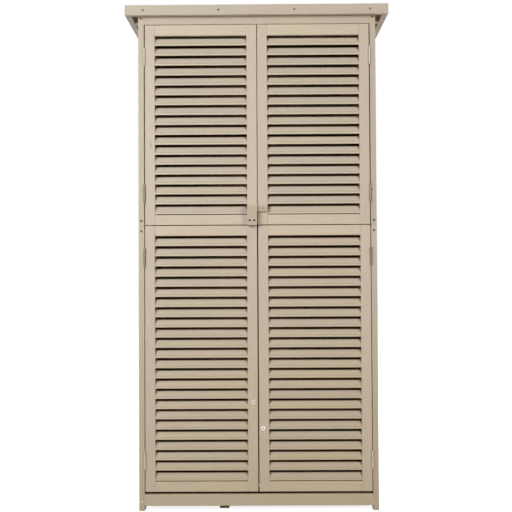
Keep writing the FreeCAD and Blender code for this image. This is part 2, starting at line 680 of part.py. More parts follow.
def hinge_pin(name, low):
    cap = "Sizes.hinge_pin_cap"
    top = f"{low} + Sizes.hinge_length"
    shank = rod(name + "_shank", (PIN_X, PIN_Y, low), "z",
                "Sizes.hinge_pin_radius", "Sizes.hinge_length")
    heads = [rod(f"{name}_{end}_head", (PIN_X, PIN_Y, place), "z",
                 "Sizes.knuckle_radius - Sizes.knuckle_gap", cap)
             for end, place in (("lower", f"{low} - {cap}"), ("upper", top))]
    return fused(name, [shank] + heads)


def make_hinges():
    frame_leaves = []
    door_leaves = []
    pins = []
    for level in LEAVES:
        for end, low in hinge_bottoms(level).items():
            name = f"{level}_{end}_hinge"
            frame_leaves.append(hinge_leaf(name + "_frame_leaf", low,
                                           f"{POST_IN} - Sizes.hinge_leaf_thickness", 0))
            door_leaves.append(hinge_leaf(name + "_door_leaf", low, HINGE_IN, 1))
            pin = hinge_pin(name + "_pin", low)
            pins += [pin, mirrored(f"left_{name}_pin", pin)]
    pair("hinge_frame_leaves", group("hinge_frame_leaves", frame_leaves))
    pair("hinge_door_leaves", group("hinge_door_leaves", door_leaves))
    node("hinge_pins", group("hinge_pins", pins))


# The latch: a bar on the right door drops behind the lip of a keeper on the left door.
KEEPER_DEPTH = "(Sizes.keeper_lip + 2 * Sizes.bar_play + Sizes.bar_thickness)"
KEEPER_FRONT = f"({FRONT} - {KEEPER_DEPTH})"
KEEPER_LOW = "(Sizes.seam_height - Sizes.keeper_drop)"
BAR_LOW = f"({KEEPER_LOW} + Sizes.bar_rise)"
BAR_FRONT = f"({FRONT} - Sizes.bar_play - Sizes.bar_thickness)"
PIVOT_HEIGHT = f"({BAR_LOW} + Sizes.bar_height / 2)"


def make_keeper():
    left = "-Sizes.keeper_offset - Sizes.keeper_width"
    floor = "(Sizes.bar_rise - Sizes.bar_play)"
    outline = [(0, 0), (KEEPER_DEPTH, 0), (KEEPER_DEPTH, floor), ("Sizes.keeper_lip", floor),
               ("Sizes.keeper_lip", "Sizes.keeper_height"), (0, "Sizes.keeper_height")]
    blank = eased_body("keeper_block", (left, KEEPER_FRONT, KEEPER_LOW),
                       "Sizes.keeper_width", outline)
    height = f"{KEEPER_LOW} + Sizes.keeper_screw_rise"
    screws = []
    drills = []
    for side, sign in (("left", "-"), ("right", "+")):
        x = f"{left} + Sizes.keeper_width / 2 {sign} Sizes.keeper_screw_pitch / 2"
        spot = (x, KEEPER_FRONT, height)
        name = f"keeper_{side}_screw"
        screws.append(screw(name, *spot, "Sizes.keeper_screw_length"))
        drills += screw_hole(name + "_hole", *spot, "Sizes.keeper_screw_length")
    node("latch_keeper", cut("latch_keeper", blank, drills))
    node("keeper_screws", group("keeper_screws", screws))
    return drills


def make_bar():
    corner = ("Sizes.bar_pivot_offset + Sizes.bar_tail - Sizes.bar_length", BAR_FRONT, BAR_LOW)
    blank = board("bar_board", corner,
                  ("Sizes.bar_length", "Sizes.bar_thickness", "Sizes.bar_height"))
    radius = "Sizes.pivot_radius"
    under_head = f"({BAR_FRONT} - Sizes.bar_play)"
    length = f"({FRONT} + Sizes.pivot_bite - {under_head})"
    start = ("Sizes.bar_pivot_offset", under_head, PIVOT_HEIGHT)
    bore = rod("pivot_bore", start, "y", f"{radius} + Sizes.screw_play",
               f"{length} + Sizes.screw_play")
    node("latch_bar", cut("latch_bar", blank, [bore]))
    head_start = (start[0], f"{under_head} - Sizes.pivot_head_height", start[2])
    head = rod("pivot_head", head_start, "y", "Sizes.pivot_head_radius",
               "Sizes.pivot_head_height")
    shank = rod("pivot_shank", start, "y", radius, length)
    node("latch_pivot_screw", fused("latch_pivot_screw", [head, shank]))
    return [bore]


def make_strike(side, sign, height):
    # A steel plate on the back of a stile, held by a round-headed screw through it.
    x = f"({sign}Sizes.strike_offset)"
    head = rod(side + "_strike_head", (x, f"{FRONT} - Sizes.strike_head_height", height), "y",
               "Sizes.strike_head_radius", "Sizes.strike_head_height")
    shank = rod(side + "_strike_shank", (x, FRONT, height), "y",
                "Sizes.strike_screw_radius", "Sizes.door_thickness")
    bore = rod(side + "_strike_bore", (x, f"{FRONT} - Sizes.screw_play", height), "y",
               "Sizes.strike_screw_radius + Sizes.screw_play",
               "Sizes.door_thickness + 2 * Sizes.screw_play")
    corner = (f"{x} - Sizes.strike_width / 2", DOOR_BACK, f"{height} - Sizes.strike_height / 2")
    plate = box(side + "_strike_plate", corner,
                ("Sizes.strike_width", "Sizes.strike_thickness", "Sizes.strike_height"))
    bolt = fused(side + "_strike_screw", [head, shank])
    node(side + "_strike", group(side + "_strike", [plate, bolt]))
    return [bore]


def make_catches():
    # The left magnet stands on the low shelf, the right one hangs under its front rail.
    half = "Sizes.catch_height / 2"
    shelf = "Sizes.low_shelf_top"
    heights = {
        "left": f"({shelf} + {half})",
        "right": f"({shelf} - Sizes.shelf_thickness - Sizes.shelf_rail_height - {half})",
    }
    start = f"{DOOR_BACK} + Sizes.strike_thickness + Sizes.catch_air"
    drills = {}
    housings = []
    for side, sign in (("left", "-"), ("right", "")):
        height = heights[side]
        drills[side] = make_strike(side, sign, height)
        corner = (f"{sign}Sizes.strike_offset - Sizes.catch_width / 2", start,
                  f"{height} - {half}")
        housings.append(board(side + "_catch", corner,
                              ("Sizes.catch_width", "Sizes.catch_length", "Sizes.catch_height")))
    node("magnetic_catches", group("magnetic_catches", housings))
    return drills


fascia_screws = make_roof()
post_screws = make_side_frames()
left_post_screws = [mirrored("left_" + item.Name, item) for item in post_screws]
node("frame_screws", group("frame_screws", fascia_screws + post_screws + left_post_screws))
make_walls()
make_cross_rails()
make_floor()
make_shelves()
door_stiles = make_doors()
keeper_drills = make_keeper()
pivot_drills = make_bar()
strike_drills = make_catches()
make_stiles("left", "upper", door_stiles["upper"], keeper_drills)
make_stiles("right", "upper", door_stiles["upper"], pivot_drills)
make_stiles("left", "lower", door_stiles["lower"], strike_drills["left"])
make_stiles("right", "lower", door_stiles["lower"], strike_drills["right"])
make_hinges()
doc.recompute()

for item in doc.Objects:
    if "Invalid" in item.State or "Error" in item.State:
        raise RuntimeError(f"{item.Name} did not compute: {item.State}")
for item in nodes:
    shape = item.Shape
    if shape.isNull() or not shape.isValid() or not shape.Solids:
        raise RuntimeError(f"{item.Label} is not a valid solid")

os.makedirs("parts", exist_ok=True)
for item in nodes:
    item.Shape.exportStep(f"parts/{item.Label}.step")
whole = Part.makeCompound([item.Shape for item in nodes]).BoundBox
print(f"{len(nodes)} nodes, {sum(len(item.Shape.Solids) for item in nodes)} solids")
print(f"box {whole.XMin:.2f} {whole.YMin:.2f} {whole.ZMin:.2f} to"
      f" {whole.XMax:.2f} {whole.YMax:.2f} {whole.ZMax:.2f}")
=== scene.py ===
import bpy
import json
import math
from mathutils import Euler, Matrix, Vector

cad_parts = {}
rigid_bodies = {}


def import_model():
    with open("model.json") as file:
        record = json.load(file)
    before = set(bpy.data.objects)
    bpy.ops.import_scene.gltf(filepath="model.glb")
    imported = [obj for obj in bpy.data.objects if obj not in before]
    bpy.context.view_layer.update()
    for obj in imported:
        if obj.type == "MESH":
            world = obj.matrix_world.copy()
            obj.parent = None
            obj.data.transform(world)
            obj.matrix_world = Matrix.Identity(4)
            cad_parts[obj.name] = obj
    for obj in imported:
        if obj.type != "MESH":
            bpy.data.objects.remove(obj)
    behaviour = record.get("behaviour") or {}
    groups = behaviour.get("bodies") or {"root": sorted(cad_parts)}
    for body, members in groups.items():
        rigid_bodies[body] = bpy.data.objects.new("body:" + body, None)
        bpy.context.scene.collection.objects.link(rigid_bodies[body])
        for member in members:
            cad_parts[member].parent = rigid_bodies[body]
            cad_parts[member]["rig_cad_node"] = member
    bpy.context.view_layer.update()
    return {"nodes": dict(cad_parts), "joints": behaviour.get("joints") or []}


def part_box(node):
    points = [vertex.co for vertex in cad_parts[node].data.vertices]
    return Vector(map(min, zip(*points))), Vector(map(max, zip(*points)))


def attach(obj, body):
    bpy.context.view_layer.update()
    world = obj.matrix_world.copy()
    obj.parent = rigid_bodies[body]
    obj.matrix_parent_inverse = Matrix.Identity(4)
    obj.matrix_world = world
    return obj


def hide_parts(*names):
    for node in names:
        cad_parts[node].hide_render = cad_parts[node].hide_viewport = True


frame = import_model()

# Garden storage cabinet: louvred doors of stained softwood, steel hinges, a felted roof.
# Lengths are in metres, and MM turns millimetres into metres.
MM = 0.001
QUARTER_TURN = math.radians(90)
LEVELS = ("lower", "upper")
SIDES = {"left": -1, "right": 1}

scene = bpy.context.scene
scene.view_settings.view_transform = "Standard"


def middle(corners):
    return (corners[0] + corners[1]) / 2


def linear(hex_colour):
    # An sRGB colour, written as six hex digits, as the linear values that shaders take.
    channels = [int(hex_colour[i:i + 2], 16) / 255 for i in (0, 2, 4)]
    return [c / 12.92 if c <= 0.04045 else ((c + 0.055) / 1.055) ** 2.4
            for c in channels] + [1]


def add(tree, kind, inputs=None, out=0, **settings):
    # Adds a shader node with its settings, and fills its inputs with values or links.
    # Inputs that share a name go by number: in MapRange, 1 and 2 are the range of the value
    # and 3 and 4 what it becomes there, and in a colour Mix, 6 and 7 are the two colours.
    made = tree.nodes.new("ShaderNode" + kind)
    for name, value in settings.items():
        setattr(made, name, value)
    for name, value in (inputs or {}).items():
        if isinstance(value, bpy.types.NodeSocket):
            tree.links.new(value, made.inputs[name])
        else:
            made.inputs[name].default_value = value
    return made.outputs[out] if made.outputs else made


def blank_material(name):
    # A material without nodes, its node tree and the coordinates that patterns take.
    material = bpy.data.materials.new(name)
    material.use_nodes = True
    tree = material.node_tree
    tree.nodes.clear()
    return material, tree, add(tree, "TexCoord").node.outputs


def surface_coat(tree, colour, rough, relief, strength, depth, metallic=0.0):
    # What the light meets: a colour, a roughness and a relief of some depth.
    bump = add(tree, "Bump", {"Strength": strength, "Distance": depth, "Height": relief})
    coat = add(tree, "BsdfPrincipled", {"Base Color": colour, "Roughness": rough,
                                        "Metallic": metallic, "Normal": bump})
    add(tree, "OutputMaterial", {"Surface": coat})


# Stained and bare pine

# Taupe wood stain on softwood, as it dried on each kind of piece: plain, warm and cool.
STILE_TONES = ("D1C7BB", "D3C7B5", "CABFB4")
RAIL_TONES = ("D5C9BA", "D8CAB3", "CFC3B5")
POST_TONES = ("CBC2B5", "CDC1AF", "C5BBAD")
# The header and the upper piece of the right post take darker tones than the posts: painted
# shade.
HEADER_TONES = ("C8BEB1", "C9BDAB", "C1B7A9")
SHADED_POST_TONES = ("C5BDB0", "C7BCAA", "BFB6A8")
SLAT_TONES = ("CEC5B8", "D2C7B3", "C9BFB6")
LATCH_TONES = ("C1B6A6", "C5B7A0", "BBB0A1")
WALL_TONES = ("CABEAC", "CEBFA8", "C0B4A5")

# Pine without stain: light grain, dark grain and damp patches.
BARE_TONES = ("7C5735", "603D24", "6A583F")
# The support block's tones are painted paler than bare pine: painted light, for the light that a
# white floor throws up under the rail.
LIT_BLOCK_TONES = ("FFD2A0", "D09560", "C4B878")

# What shows through the stain or lies on it, and painted highlights and shade.
GRAIN_TONE = "A99A86"
KNOT_TONE = "8E7860"
PIN_KNOT_TONE = "3A2A1C"
# Painted highlight on the arrises.
ARRIS_HIGHLIGHT = "DCCFB4"
# Painted highlight on the upright front edges of the slats.
FACET_HIGHLIGHT = "DDD2BC"
# Painted shade on the slats: under the slat above, and along the foot of the sloping face.
UNDER_SLAT_SHADE = "9C8B7C"
EDGE_SHADE_TONE = "B3A381"
JOINT_TONE = "8A7866"
# Painted shade in the slats' upper corners and in the gaps between them.
CORNER_SHADOW = "4C3D30"
GAP_SHADE = "2B2119"

# How much of each shows, from 0 to 1.
COOL_SHARE = 0.7
PATCH_SHARE = 0.55
GRAIN_SHARE = 0.3
FAINT_GRAIN = 0.18
KNOT_SHARE = 0.45
ARRIS_HIGHLIGHT_SHARE = 0.5
SAWN_SHARE = 0.8
DAMP_SHARE = 0.5
FACET_HIGHLIGHT_SHARE = 0.45
EDGE_SHADE_SHARE = 0.3
UNDER_SLAT_SHADE_SHARE = 0.25
GAP_SHADE_SHARE = 0.95
CORNER_SHADOW_SHARE = 0.7

# Patterns of the wood: their size, or their size across the grain and along it.
GRAIN = (2.5 * MM, 70 * MM)
SAWN_GRAIN = (4 * MM, 120 * MM)
PATCHES = (28 * MM, 160 * MM)
DAMP_PATCHES = 40 * MM
KNOTS = (42 * MM, 150 * MM)
KNOT_RARITY = 0.86  # share of the knots that the wood doesn't have
PIN_KNOT_REACH = 75 * MM
PIN_KNOT_RADIUS = 1.2 * MM
JOINT_HALF_WIDTH = 0.4 * MM

# Over which stretch of its noise a pattern comes in.
PATCH_NOISE = (0.42, 0.68)
GRAIN_NOISE = (0.5, 0.75)
INSIDE_NOISE = (0.4, 0.62)
SAWN_NOISE = (0.38, 0.66)
DAMP_NOISE = (0.5, 0.7)
MOST_NOISE = (0.3, 0.7)           # nearly all that a noise reaches

# Where other marks show in full, and where they end.
KNOT_EDGE = (0.03, 0.1)           # from a knot's middle, as a share of its cell
ARRIS_NORMALS = (0.72, 0.86)      # longest part of the normal: on an arris, and beside it
UPRIGHT_NORMALS = (-0.99, -0.95)  # Y of the normal: on an upright face, and on a sloping one
CORNER_EDGE = (0.35, 1.0)         # from a slat's corner, in corner widths and heights

INWARDS = 0.3  # a face whose normal points inside by more than this is an inner one
STAINED_ROUGHNESS = (0.52, 0.66)
SAWN_ROUGHNESS = 0.8

# Painted shade towards the foot: what the tone is multiplied by at the ground, and the height
# where that ends.
FOOT_SHADE = "FFFBEF"
DEEPER_FOOT_SHADE = "F2EDE0"
FOOT_SHADE_HEIGHT = 1.05

# Louvre slats: sizes, and heights above the foot of a slat's cell.
BELOW = 2 * MM  # from that foot up to the slat
SLAT_HEIGHT = 25.2 * MM
SLAT_TOP = BELOW + SLAT_HEIGHT
# Heights and sizes of painted shade on a slat: a line along the foot of the sloping face, a band
# under the slat above, the gap and the upper corners.
EDGE_SHADE_LEVEL = 9 * MM
EDGE_SHADE_HALF_WIDTH = 2.2 * MM
UNDER_SLAT_SHADE_LEVELS = (19 * MM, 27 * MM)
GAP_SHADE_LEVELS = (SLAT_TOP - 2.5 * MM, SLAT_TOP - 0.7 * MM)
CORNER_WIDTH = 15 * MM
CORNER_HEIGHT = 19 * MM


def grained(tree, coords, grain, pattern):
    # Coordinates for a pattern that is drawn out along the grain.
    scale = [1 / pattern[0]] * 3
    scale["xyz".index(grain)] = 1 / pattern[1]
    return add(tree, "Mapping", {"Vector": coords["Object"], "Scale": scale})


def board_tone(tree, coords, cell, shift, tones):
    # Each board has a tone of its own, drawn for the cell that it lies in.
    placed = add(tree, "VectorMath", {0: coords["Object"], 1: shift}, operation="ADD")
    board = add(tree, "VectorMath", {0: placed, 1: cell}, operation="SNAP")
    chance = add(tree, "TexWhiteNoise", {"Vector": board}, out="Color", noise_dimensions="3D")
    chances = add(tree, "SeparateColor", {0: chance}).node.outputs
    plain, warm, cool = (linear(tone) for tone in tones)
    tone = add(tree, "Mix", {0: chances[0], 6: plain, 7: warm}, 2, data_type="RGBA")
    share = add(tree, "Math", {0: chances[1], 1: COOL_SHARE}, operation="MULTIPLY")
    return add(tree, "Mix", {0: share, 6: tone, 7: cool}, 2, data_type="RGBA")


def stain_patches(tree, coords, grain, tone, warm):
    # Patches where the wood drank more or less of the stain.
    patch = add(tree, "TexNoise", {"Vector": grained(tree, coords, grain, PATCHES),
                                   "Scale": 1.0, "Detail": 2.0})
    patch = add(tree, "MapRange", {0: patch, 1: PATCH_NOISE[0], 2: PATCH_NOISE[1],
                                   3: 0.0, 4: PATCH_SHARE})
    return add(tree, "Mix", {0: patch, 6: tone, 7: linear(warm)}, 2, data_type="RGBA")


def small_knots(tree, coords, grain):
    # How much of a small knot shows at a place.
    spots = add(tree, "TexVoronoi", {"Vector": grained(tree, coords, grain, KNOTS),
                                     "Scale": 1.0}).node.outputs
    near = add(tree, "MapRange", {0: spots["Distance"], 1: KNOT_EDGE[0], 2: KNOT_EDGE[1],
                                  3: 1.0, 4: 0.0})
    rare = add(tree, "SeparateColor", {0: spots["Color"]})
    rare = add(tree, "Math", {0: rare, 1: KNOT_RARITY}, operation="GREATER_THAN")
    knot = add(tree, "Math", {0: near, 1: rare}, operation="MULTIPLY")
    return add(tree, "Math", {0: knot, 1: KNOT_SHARE}, operation="MULTIPLY")


def rail_joints(tree, axes, tone, joints):
    # Seams where a rail meets its uprights, at distances from the middle of the cabinet.
    across = add(tree, "Math", {0: axes[0]}, operation="ABSOLUTE")
    for place in joints:
        seam = add(tree, "Math", {0: across, 1: place, 2: JOINT_HALF_WIDTH},
                   operation="COMPARE")
        tone = add(tree, "Mix", {0: seam, 6: tone, 7: linear(JOINT_TONE)}, 2,
                   data_type="RGBA")
    return tone


def shade_towards_foot(tree, axes, tone, foot_shade_tone):
    # Painted shade: the tone turns darker and warmer towards the ground.
    foot_share = add(tree, "MapRange", {0: axes[2], 1: 0.0, 2: FOOT_SHADE_HEIGHT, 3: 1.0, 4: 0.0})
    return add(tree, "Mix", {0: foot_share, 6: tone, 7: linear(foot_shade_tone)}, 2, data_type="RGBA",
               blend_type="MULTIPLY")


def arris_highlights(tree, coords, tone):
    # Paler where the normal lies between two axes: a painted highlight on the arrises.
    normal = add(tree, "VectorMath", {0: coords["Normal"]}, operation="ABSOLUTE")
    lengths = add(tree, "SeparateXYZ", {0: normal}).node.outputs
    most = add(tree, "Math", {0: lengths[0], 1: lengths[1]}, operation="MAXIMUM")
    most = add(tree, "Math", {0: most, 1: lengths[2]}, operation="MAXIMUM")
    arris_light = add(tree, "MapRange", {0: most, 1: ARRIS_NORMALS[0], 2: ARRIS_NORMALS[1],
                                  3: ARRIS_HIGHLIGHT_SHARE, 4: 0.0})
    return add(tree, "Mix", {0: arris_light, 6: tone, 7: linear(ARRIS_HIGHLIGHT)}, 2, data_type="RGBA")


def sawn_inside(tree, coords, tone, inside, streak, knot):
    # Wall boards are stained on the outside only, and show sawn pine on the inside.
    share = add(tree, "MapRange", {0: streak, 1: INSIDE_NOISE[0], 2: INSIDE_NOISE[1],
                                   3: 0.0, 4: SAWN_SHARE})
    sawn = add(tree, "Mix", {0: share, 6: linear(BARE_TONES[0]), 7: linear(BARE_TONES[1])}, 2,
               data_type="RGBA")
    sawn = add(tree, "Mix", {0: knot, 6: sawn, 7: linear(PIN_KNOT_TONE)}, 2, data_type="RGBA")
    inwards = add(tree, "VectorMath", {0: coords["Normal"], 1: inside}, "Value",
                  operation="DOT_PRODUCT")
    inwards = add(tree, "Math", {0: inwards, 1: INWARDS}, operation="GREATER_THAN")
    return add(tree, "Mix", {0: inwards, 6: tone, 7: sawn}, 2, data_type="RGBA")


def painted_corner_shadows(tree, axes, level, ends):
    # Painted shadow in the two upper corners of a slat, where the stiles shade it: beside the
    # stiles and near its top.
    across = add(tree, "Math", {0: axes[0]}, operation="ABSOLUTE")
    across = add(tree, "Math", {0: across, 1: sum(ends) / 2}, operation="SUBTRACT")
    across = add(tree, "Math", {0: across}, operation="ABSOLUTE")
    reach = (ends[1] - ends[0]) / 2
    beside = add(tree, "MapRange", {0: across, 1: reach - CORNER_WIDTH, 2: reach,
                                    3: 1.0, 4: 0.0}, clamp=False)
    down = add(tree, "MapRange", {0: level, 1: SLAT_TOP - CORNER_HEIGHT, 2: SLAT_TOP,
                                  3: 1.0, 4: 0.0}, clamp=False)
    corner = add(tree, "Math", {0: beside, 1: down}, operation="ADD")
    return add(tree, "MapRange", {0: corner, 1: CORNER_EDGE[0], 2: CORNER_EDGE[1],
                                  3: CORNER_SHADOW_SHARE, 4: 0.0})


def slat_knots_and_painted_light(tree, coords, axes, tone, pitch, shift, ends):
    # Louvre slats: stray pin knots, and painted light: a highlight on the upright front edge,
    # a line of shade where the sloping face ends above it, shade under the slat above, and
    # dark shade in the gap and in the upper corners.
    pins = add(tree, "TexVoronoi", {"Vector": coords["Object"],
                                    "Scale": 1 / PIN_KNOT_REACH}).node.outputs
    pin = add(tree, "Math", {0: pins["Distance"], 1: PIN_KNOT_RADIUS / PIN_KNOT_REACH},
              operation="LESS_THAN")
    # A painted highlight on the upright front edge of each slat.
    facing = add(tree, "SeparateXYZ", {0: coords["Normal"]}).node.outputs[1]
    upright = add(tree, "MapRange", {0: facing, 1: UPRIGHT_NORMALS[0], 2: UPRIGHT_NORMALS[1],
                                     3: FACET_HIGHLIGHT_SHARE, 4: 0.0})
    level = add(tree, "Math", {0: axes[2], 1: shift}, operation="ADD")
    level = add(tree, "Math", {0: level, 1: pitch}, operation="FLOORED_MODULO")
    # A line of painted shade where the sloping face meets the front edge.
    edge_shade = add(tree, "Math", {0: level, 1: EDGE_SHADE_LEVEL, 2: EDGE_SHADE_HALF_WIDTH}, operation="COMPARE")
    edge_shade = add(tree, "Math", {0: edge_shade, 1: EDGE_SHADE_SHARE}, operation="MULTIPLY")
    # Painted shade under the slat above.
    under_slat_shade = add(tree, "MapRange", {0: level, 1: UNDER_SLAT_SHADE_LEVELS[0], 2: UNDER_SLAT_SHADE_LEVELS[1],
                                  3: 0.0, 4: UNDER_SLAT_SHADE_SHARE})
    # Near-black painted shade at the top of the slat, in the gap under the slat above.
    gap_shade = add(tree, "MapRange", {0: level, 1: GAP_SHADE_LEVELS[0], 2: GAP_SHADE_LEVELS[1],
                                 3: 0.0, 4: GAP_SHADE_SHARE})
    # Painted shadow in the upper corners.
    corner = painted_corner_shadows(tree, axes, level, ends)
    for share, colour in ((pin, PIN_KNOT_TONE), (upright, FACET_HIGHLIGHT), (edge_shade, EDGE_SHADE_TONE),
                          (under_slat_shade, UNDER_SLAT_SHADE), (gap_shade, GAP_SHADE), (corner, CORNER_SHADOW)):
        tone = add(tree, "Mix", {0: share, 6: tone, 7: linear(colour)}, 2, data_type="RGBA")
    return tone


def stained_pine(name, grain, cell, tones, shift=(0, 0, 0), inside=None, joints=(),
                 streaks=GRAIN_SHARE, slat_ends=None, foot_shade_tone=FOOT_SHADE):
    # Planed pine under a thin satin wood stain: an even coat that lets a little grain and
    # a few knots through and dries to a slightly other tone on each board. A highlight is
    # painted pale on the arrises. The grain is drawn about twice as coarse as real so that it
    # shows.
    material, tree, coords = blank_material(name)
    axes = add(tree, "SeparateXYZ", {0: coords["Object"]}).node.outputs
    tone = board_tone(tree, coords, cell, shift, tones)
    tone = stain_patches(tree, coords, grain, tone, tones[1])
    streak = add(tree, "TexNoise", {"Vector": grained(tree, coords, grain, GRAIN),
                                    "Scale": 1.0, "Detail": 4.0, "Roughness": 0.6,
                                    "Distortion": 0.4})
    dark = add(tree, "MapRange", {0: streak, 1: GRAIN_NOISE[0], 2: GRAIN_NOISE[1],
                                  3: 0.0, 4: streaks})
    tone = add(tree, "Mix", {0: dark, 6: tone, 7: linear(GRAIN_TONE)}, 2, data_type="RGBA")
    knot = small_knots(tree, coords, grain)
    tone = add(tree, "Mix", {0: knot, 6: tone, 7: linear(KNOT_TONE)}, 2, data_type="RGBA")
    if slat_ends:
        tone = slat_knots_and_painted_light(tree, coords, axes, tone, cell[2], shift[2], slat_ends)
    if joints:
        tone = rail_joints(tree, axes, tone, joints)
    tone = shade_towards_foot(tree, axes, tone, foot_shade_tone)
    tone = arris_highlights(tree, coords, tone)
    if inside:
        tone = sawn_inside(tree, coords, tone, inside, streak, knot)
    rough = add(tree, "MapRange", {0: streak, 1: MOST_NOISE[0], 2: MOST_NOISE[1],
                                   3: STAINED_ROUGHNESS[0], 4: STAINED_ROUGHNESS[1]})
    surface_coat(tree, tone, rough, relief=streak, strength=0.35, depth=0.25 * MM)
    return material


def bare_pine(name, grain, tones):
    # Sawn pine without stain, greyed a little by damp: clearer grain and a dry, matt face.
    material, tree, coords = blank_material(name)
    light, dark, damp_tone = (linear(tone) for tone in tones)
    streak = add(tree, "TexNoise", {"Vector": grained(tree, coords, grain, SAWN_GRAIN),
                                    "Scale": 1.0, "Detail": 5.0, "Roughness": 0.65,
                                    "Distortion": 0.8})
    share = add(tree, "MapRange", {0: streak, 1: SAWN_NOISE[0], 2: SAWN_NOISE[1]})
    tone = add(tree, "Mix", {0: share, 6: light, 7: dark}, 2, data_type="RGBA")
    damp = add(tree, "TexNoise", {"Vector": coords["Object"], "Scale": 1 / DAMP_PATCHES,
                                  "Detail": 3.0})
    damp = add(tree, "MapRange", {0: damp, 1: DAMP_NOISE[0], 2: DAMP_NOISE[1],
                                  3: 0.0, 4: DAMP_SHARE})
    tone = add(tree, "Mix", {0: damp, 6: tone, 7: damp_tone}, 2, data_type="RGBA")
    surface_coat(tree, tone, SAWN_ROUGHNESS, relief=streak, strength=0.5, depth=0.4 * MM)
    return material


# Felt, zinc and plastic

GRANULES = ("4A4D4B", "7B7F79")
BARE_BITUMEN = "3A3A38"
BITUMEN_SHARE = 0.35
GRANULE_SIZE = 1.6 * MM
BITUMEN_PATCHES = 14.0  # to a metre
BITUMEN_NOISE = (0.52, 0.72)
CLOUD_SIZE = 9 * MM
CLOUD_NOISE = (0.35, 0.7)
PEBBLE_SIZE = 0.8 * MM
PEBBLE_TONES = ("E9E6DE", "DEDAD0")
ROOF_ZONE = (1.15, 1.45)  # heights where zinc turns to its tone under the roof
FOOT_ZONE = (0.45, 0.15)  # heights where it turns to its tone at the foot
FELT_ROUGHNESS = 0.92
ZINC_SPREAD = (-0.07, 0.1)  # what the clouds take from zinc's roughness or add to it
PLASTIC_ROUGHNESS = 0.45


def mineral_felt():
    # Bitumen roofing felt with slate granules of 1 to 2 mm: dark, rough and speckled.
    material, tree, coords = blank_material("mineral_felt")
    grit = add(tree, "TexVoronoi", {"Vector": coords["Object"],
                                    "Scale": 1 / GRANULE_SIZE}).node.outputs
    shade = add(tree, "SeparateColor", {0: grit["Color"]})
    tone = add(tree, "Mix", {0: shade, 6: linear(GRANULES[0]), 7: linear(GRANULES[1])}, 2,
               data_type="RGBA")
    bare = add(tree, "TexNoise", {"Vector": coords["Object"], "Scale": BITUMEN_PATCHES,
                                  "Detail": 5.0})
    bare = add(tree, "MapRange", {0: bare, 1: BITUMEN_NOISE[0], 2: BITUMEN_NOISE[1],
                                  3: 0.0, 4: BITUMEN_SHARE})
    tone = add(tree, "Mix", {0: bare, 6: tone, 7: linear(BARE_BITUMEN)}, 2, data_type="RGBA")
    surface_coat(tree, tone, FELT_ROUGHNESS, relief=grit["Distance"], strength=0.7,
                 depth=0.7 * MM)
    return material


def zinc_plate(name, tone, dull, roughness=0.5, top=None, foot=None):
    # Zinc-plated steel: pale grey, softly mirroring, with the faint cloudy patches that the
    # plating has, and duller where it has weathered. Under the roof and at the foot it can take
    # another tone: on the hinges that is a painted reflection, on the screws the tone they have
    # kept.
    material, tree, coords = blank_material(name)
    cloud = add(tree, "TexNoise", {"Vector": coords["Object"], "Scale": 1 / CLOUD_SIZE,
                                   "Detail": 4.0})
    share = add(tree, "MapRange", {0: cloud, 1: CLOUD_NOISE[0], 2: CLOUD_NOISE[1]})
    colour = add(tree, "Mix", {0: share, 6: linear(tone), 7: linear(dull)}, 2,
                 data_type="RGBA")
    height = add(tree, "SeparateXYZ", {0: coords["Object"]}).node.outputs[2]
    for other, (start, end) in ((top, ROOF_ZONE), (foot, FOOT_ZONE)):
        if other:
            share = add(tree, "MapRange", {0: height, 1: start, 2: end, 3: 0.0, 4: 1.0})
            colour = add(tree, "Mix", {0: share, 6: colour, 7: linear(other)}, 2,
                         data_type="RGBA")
    rough = add(tree, "MapRange", {0: cloud, 1: MOST_NOISE[0], 2: MOST_NOISE[1],
                                   3: roughness + ZINC_SPREAD[0],
                                   4: roughness + ZINC_SPREAD[1]})
    surface_coat(tree, colour, rough, relief=cloud, strength=0.15, depth=0.05 * MM,
                 metallic=1.0)
    return material


def moulded_plastic():
    # The catch housings: white polypropylene with a fine moulded texture and a soft sheen.
    material, tree, coords = blank_material("moulded_polypropylene")
    pebble = add(tree, "TexNoise", {"Vector": coords["Object"], "Scale": 1 / PEBBLE_SIZE,
                                    "Detail": 2.0})
    tone = add(tree, "Mix", {0: pebble, 6: linear(PEBBLE_TONES[0]),
                             7: linear(PEBBLE_TONES[1])}, 2, data_type="RGBA")
    surface_coat(tree, tone, PLASTIC_ROUGHNESS, relief=pebble, strength=0.2, depth=0.1 * MM)
    return material


# On the hinges the paler tones under the roof and at the foot are painted reflections of the
# white around them.
hinge_zinc = zinc_plate("zinc_plated_hinges", "7C7263", "665C4F", top="A49E91", foot="A99E8A")
plate_zinc = zinc_plate("zinc_plated_joining_plates", "98938A", "857F75", roughness=0.4)
screw_zinc = zinc_plate("weathered_zinc_screws", "3B3228", "2A221A", top="6F6455",
                        foot="D6CBBB")
# Painted shade for the recesses of the screw heads.
recess_shade = zinc_plate("painted_shade_in_recesses", "6F6455", "5E5447", roughness=0.6)
pivot_zinc = zinc_plate("stained_over_pivot_screw", "B7A88F", "A29379", roughness=0.6)
# One kind of strike in two tones: the right one is painted brighter, as painted light, and the
# left one dimmer, as painted shade.
strike_zinc = {"left": zinc_plate("zinc_left_strike_painted_dimmer", "EDE3DA", "DACDC0"),
               "right": zinc_plate("zinc_right_strike_painted_brighter", "FFFBF4", "F6EDE2")}
catch_plastic = moulded_plastic()


# Which piece has which finish

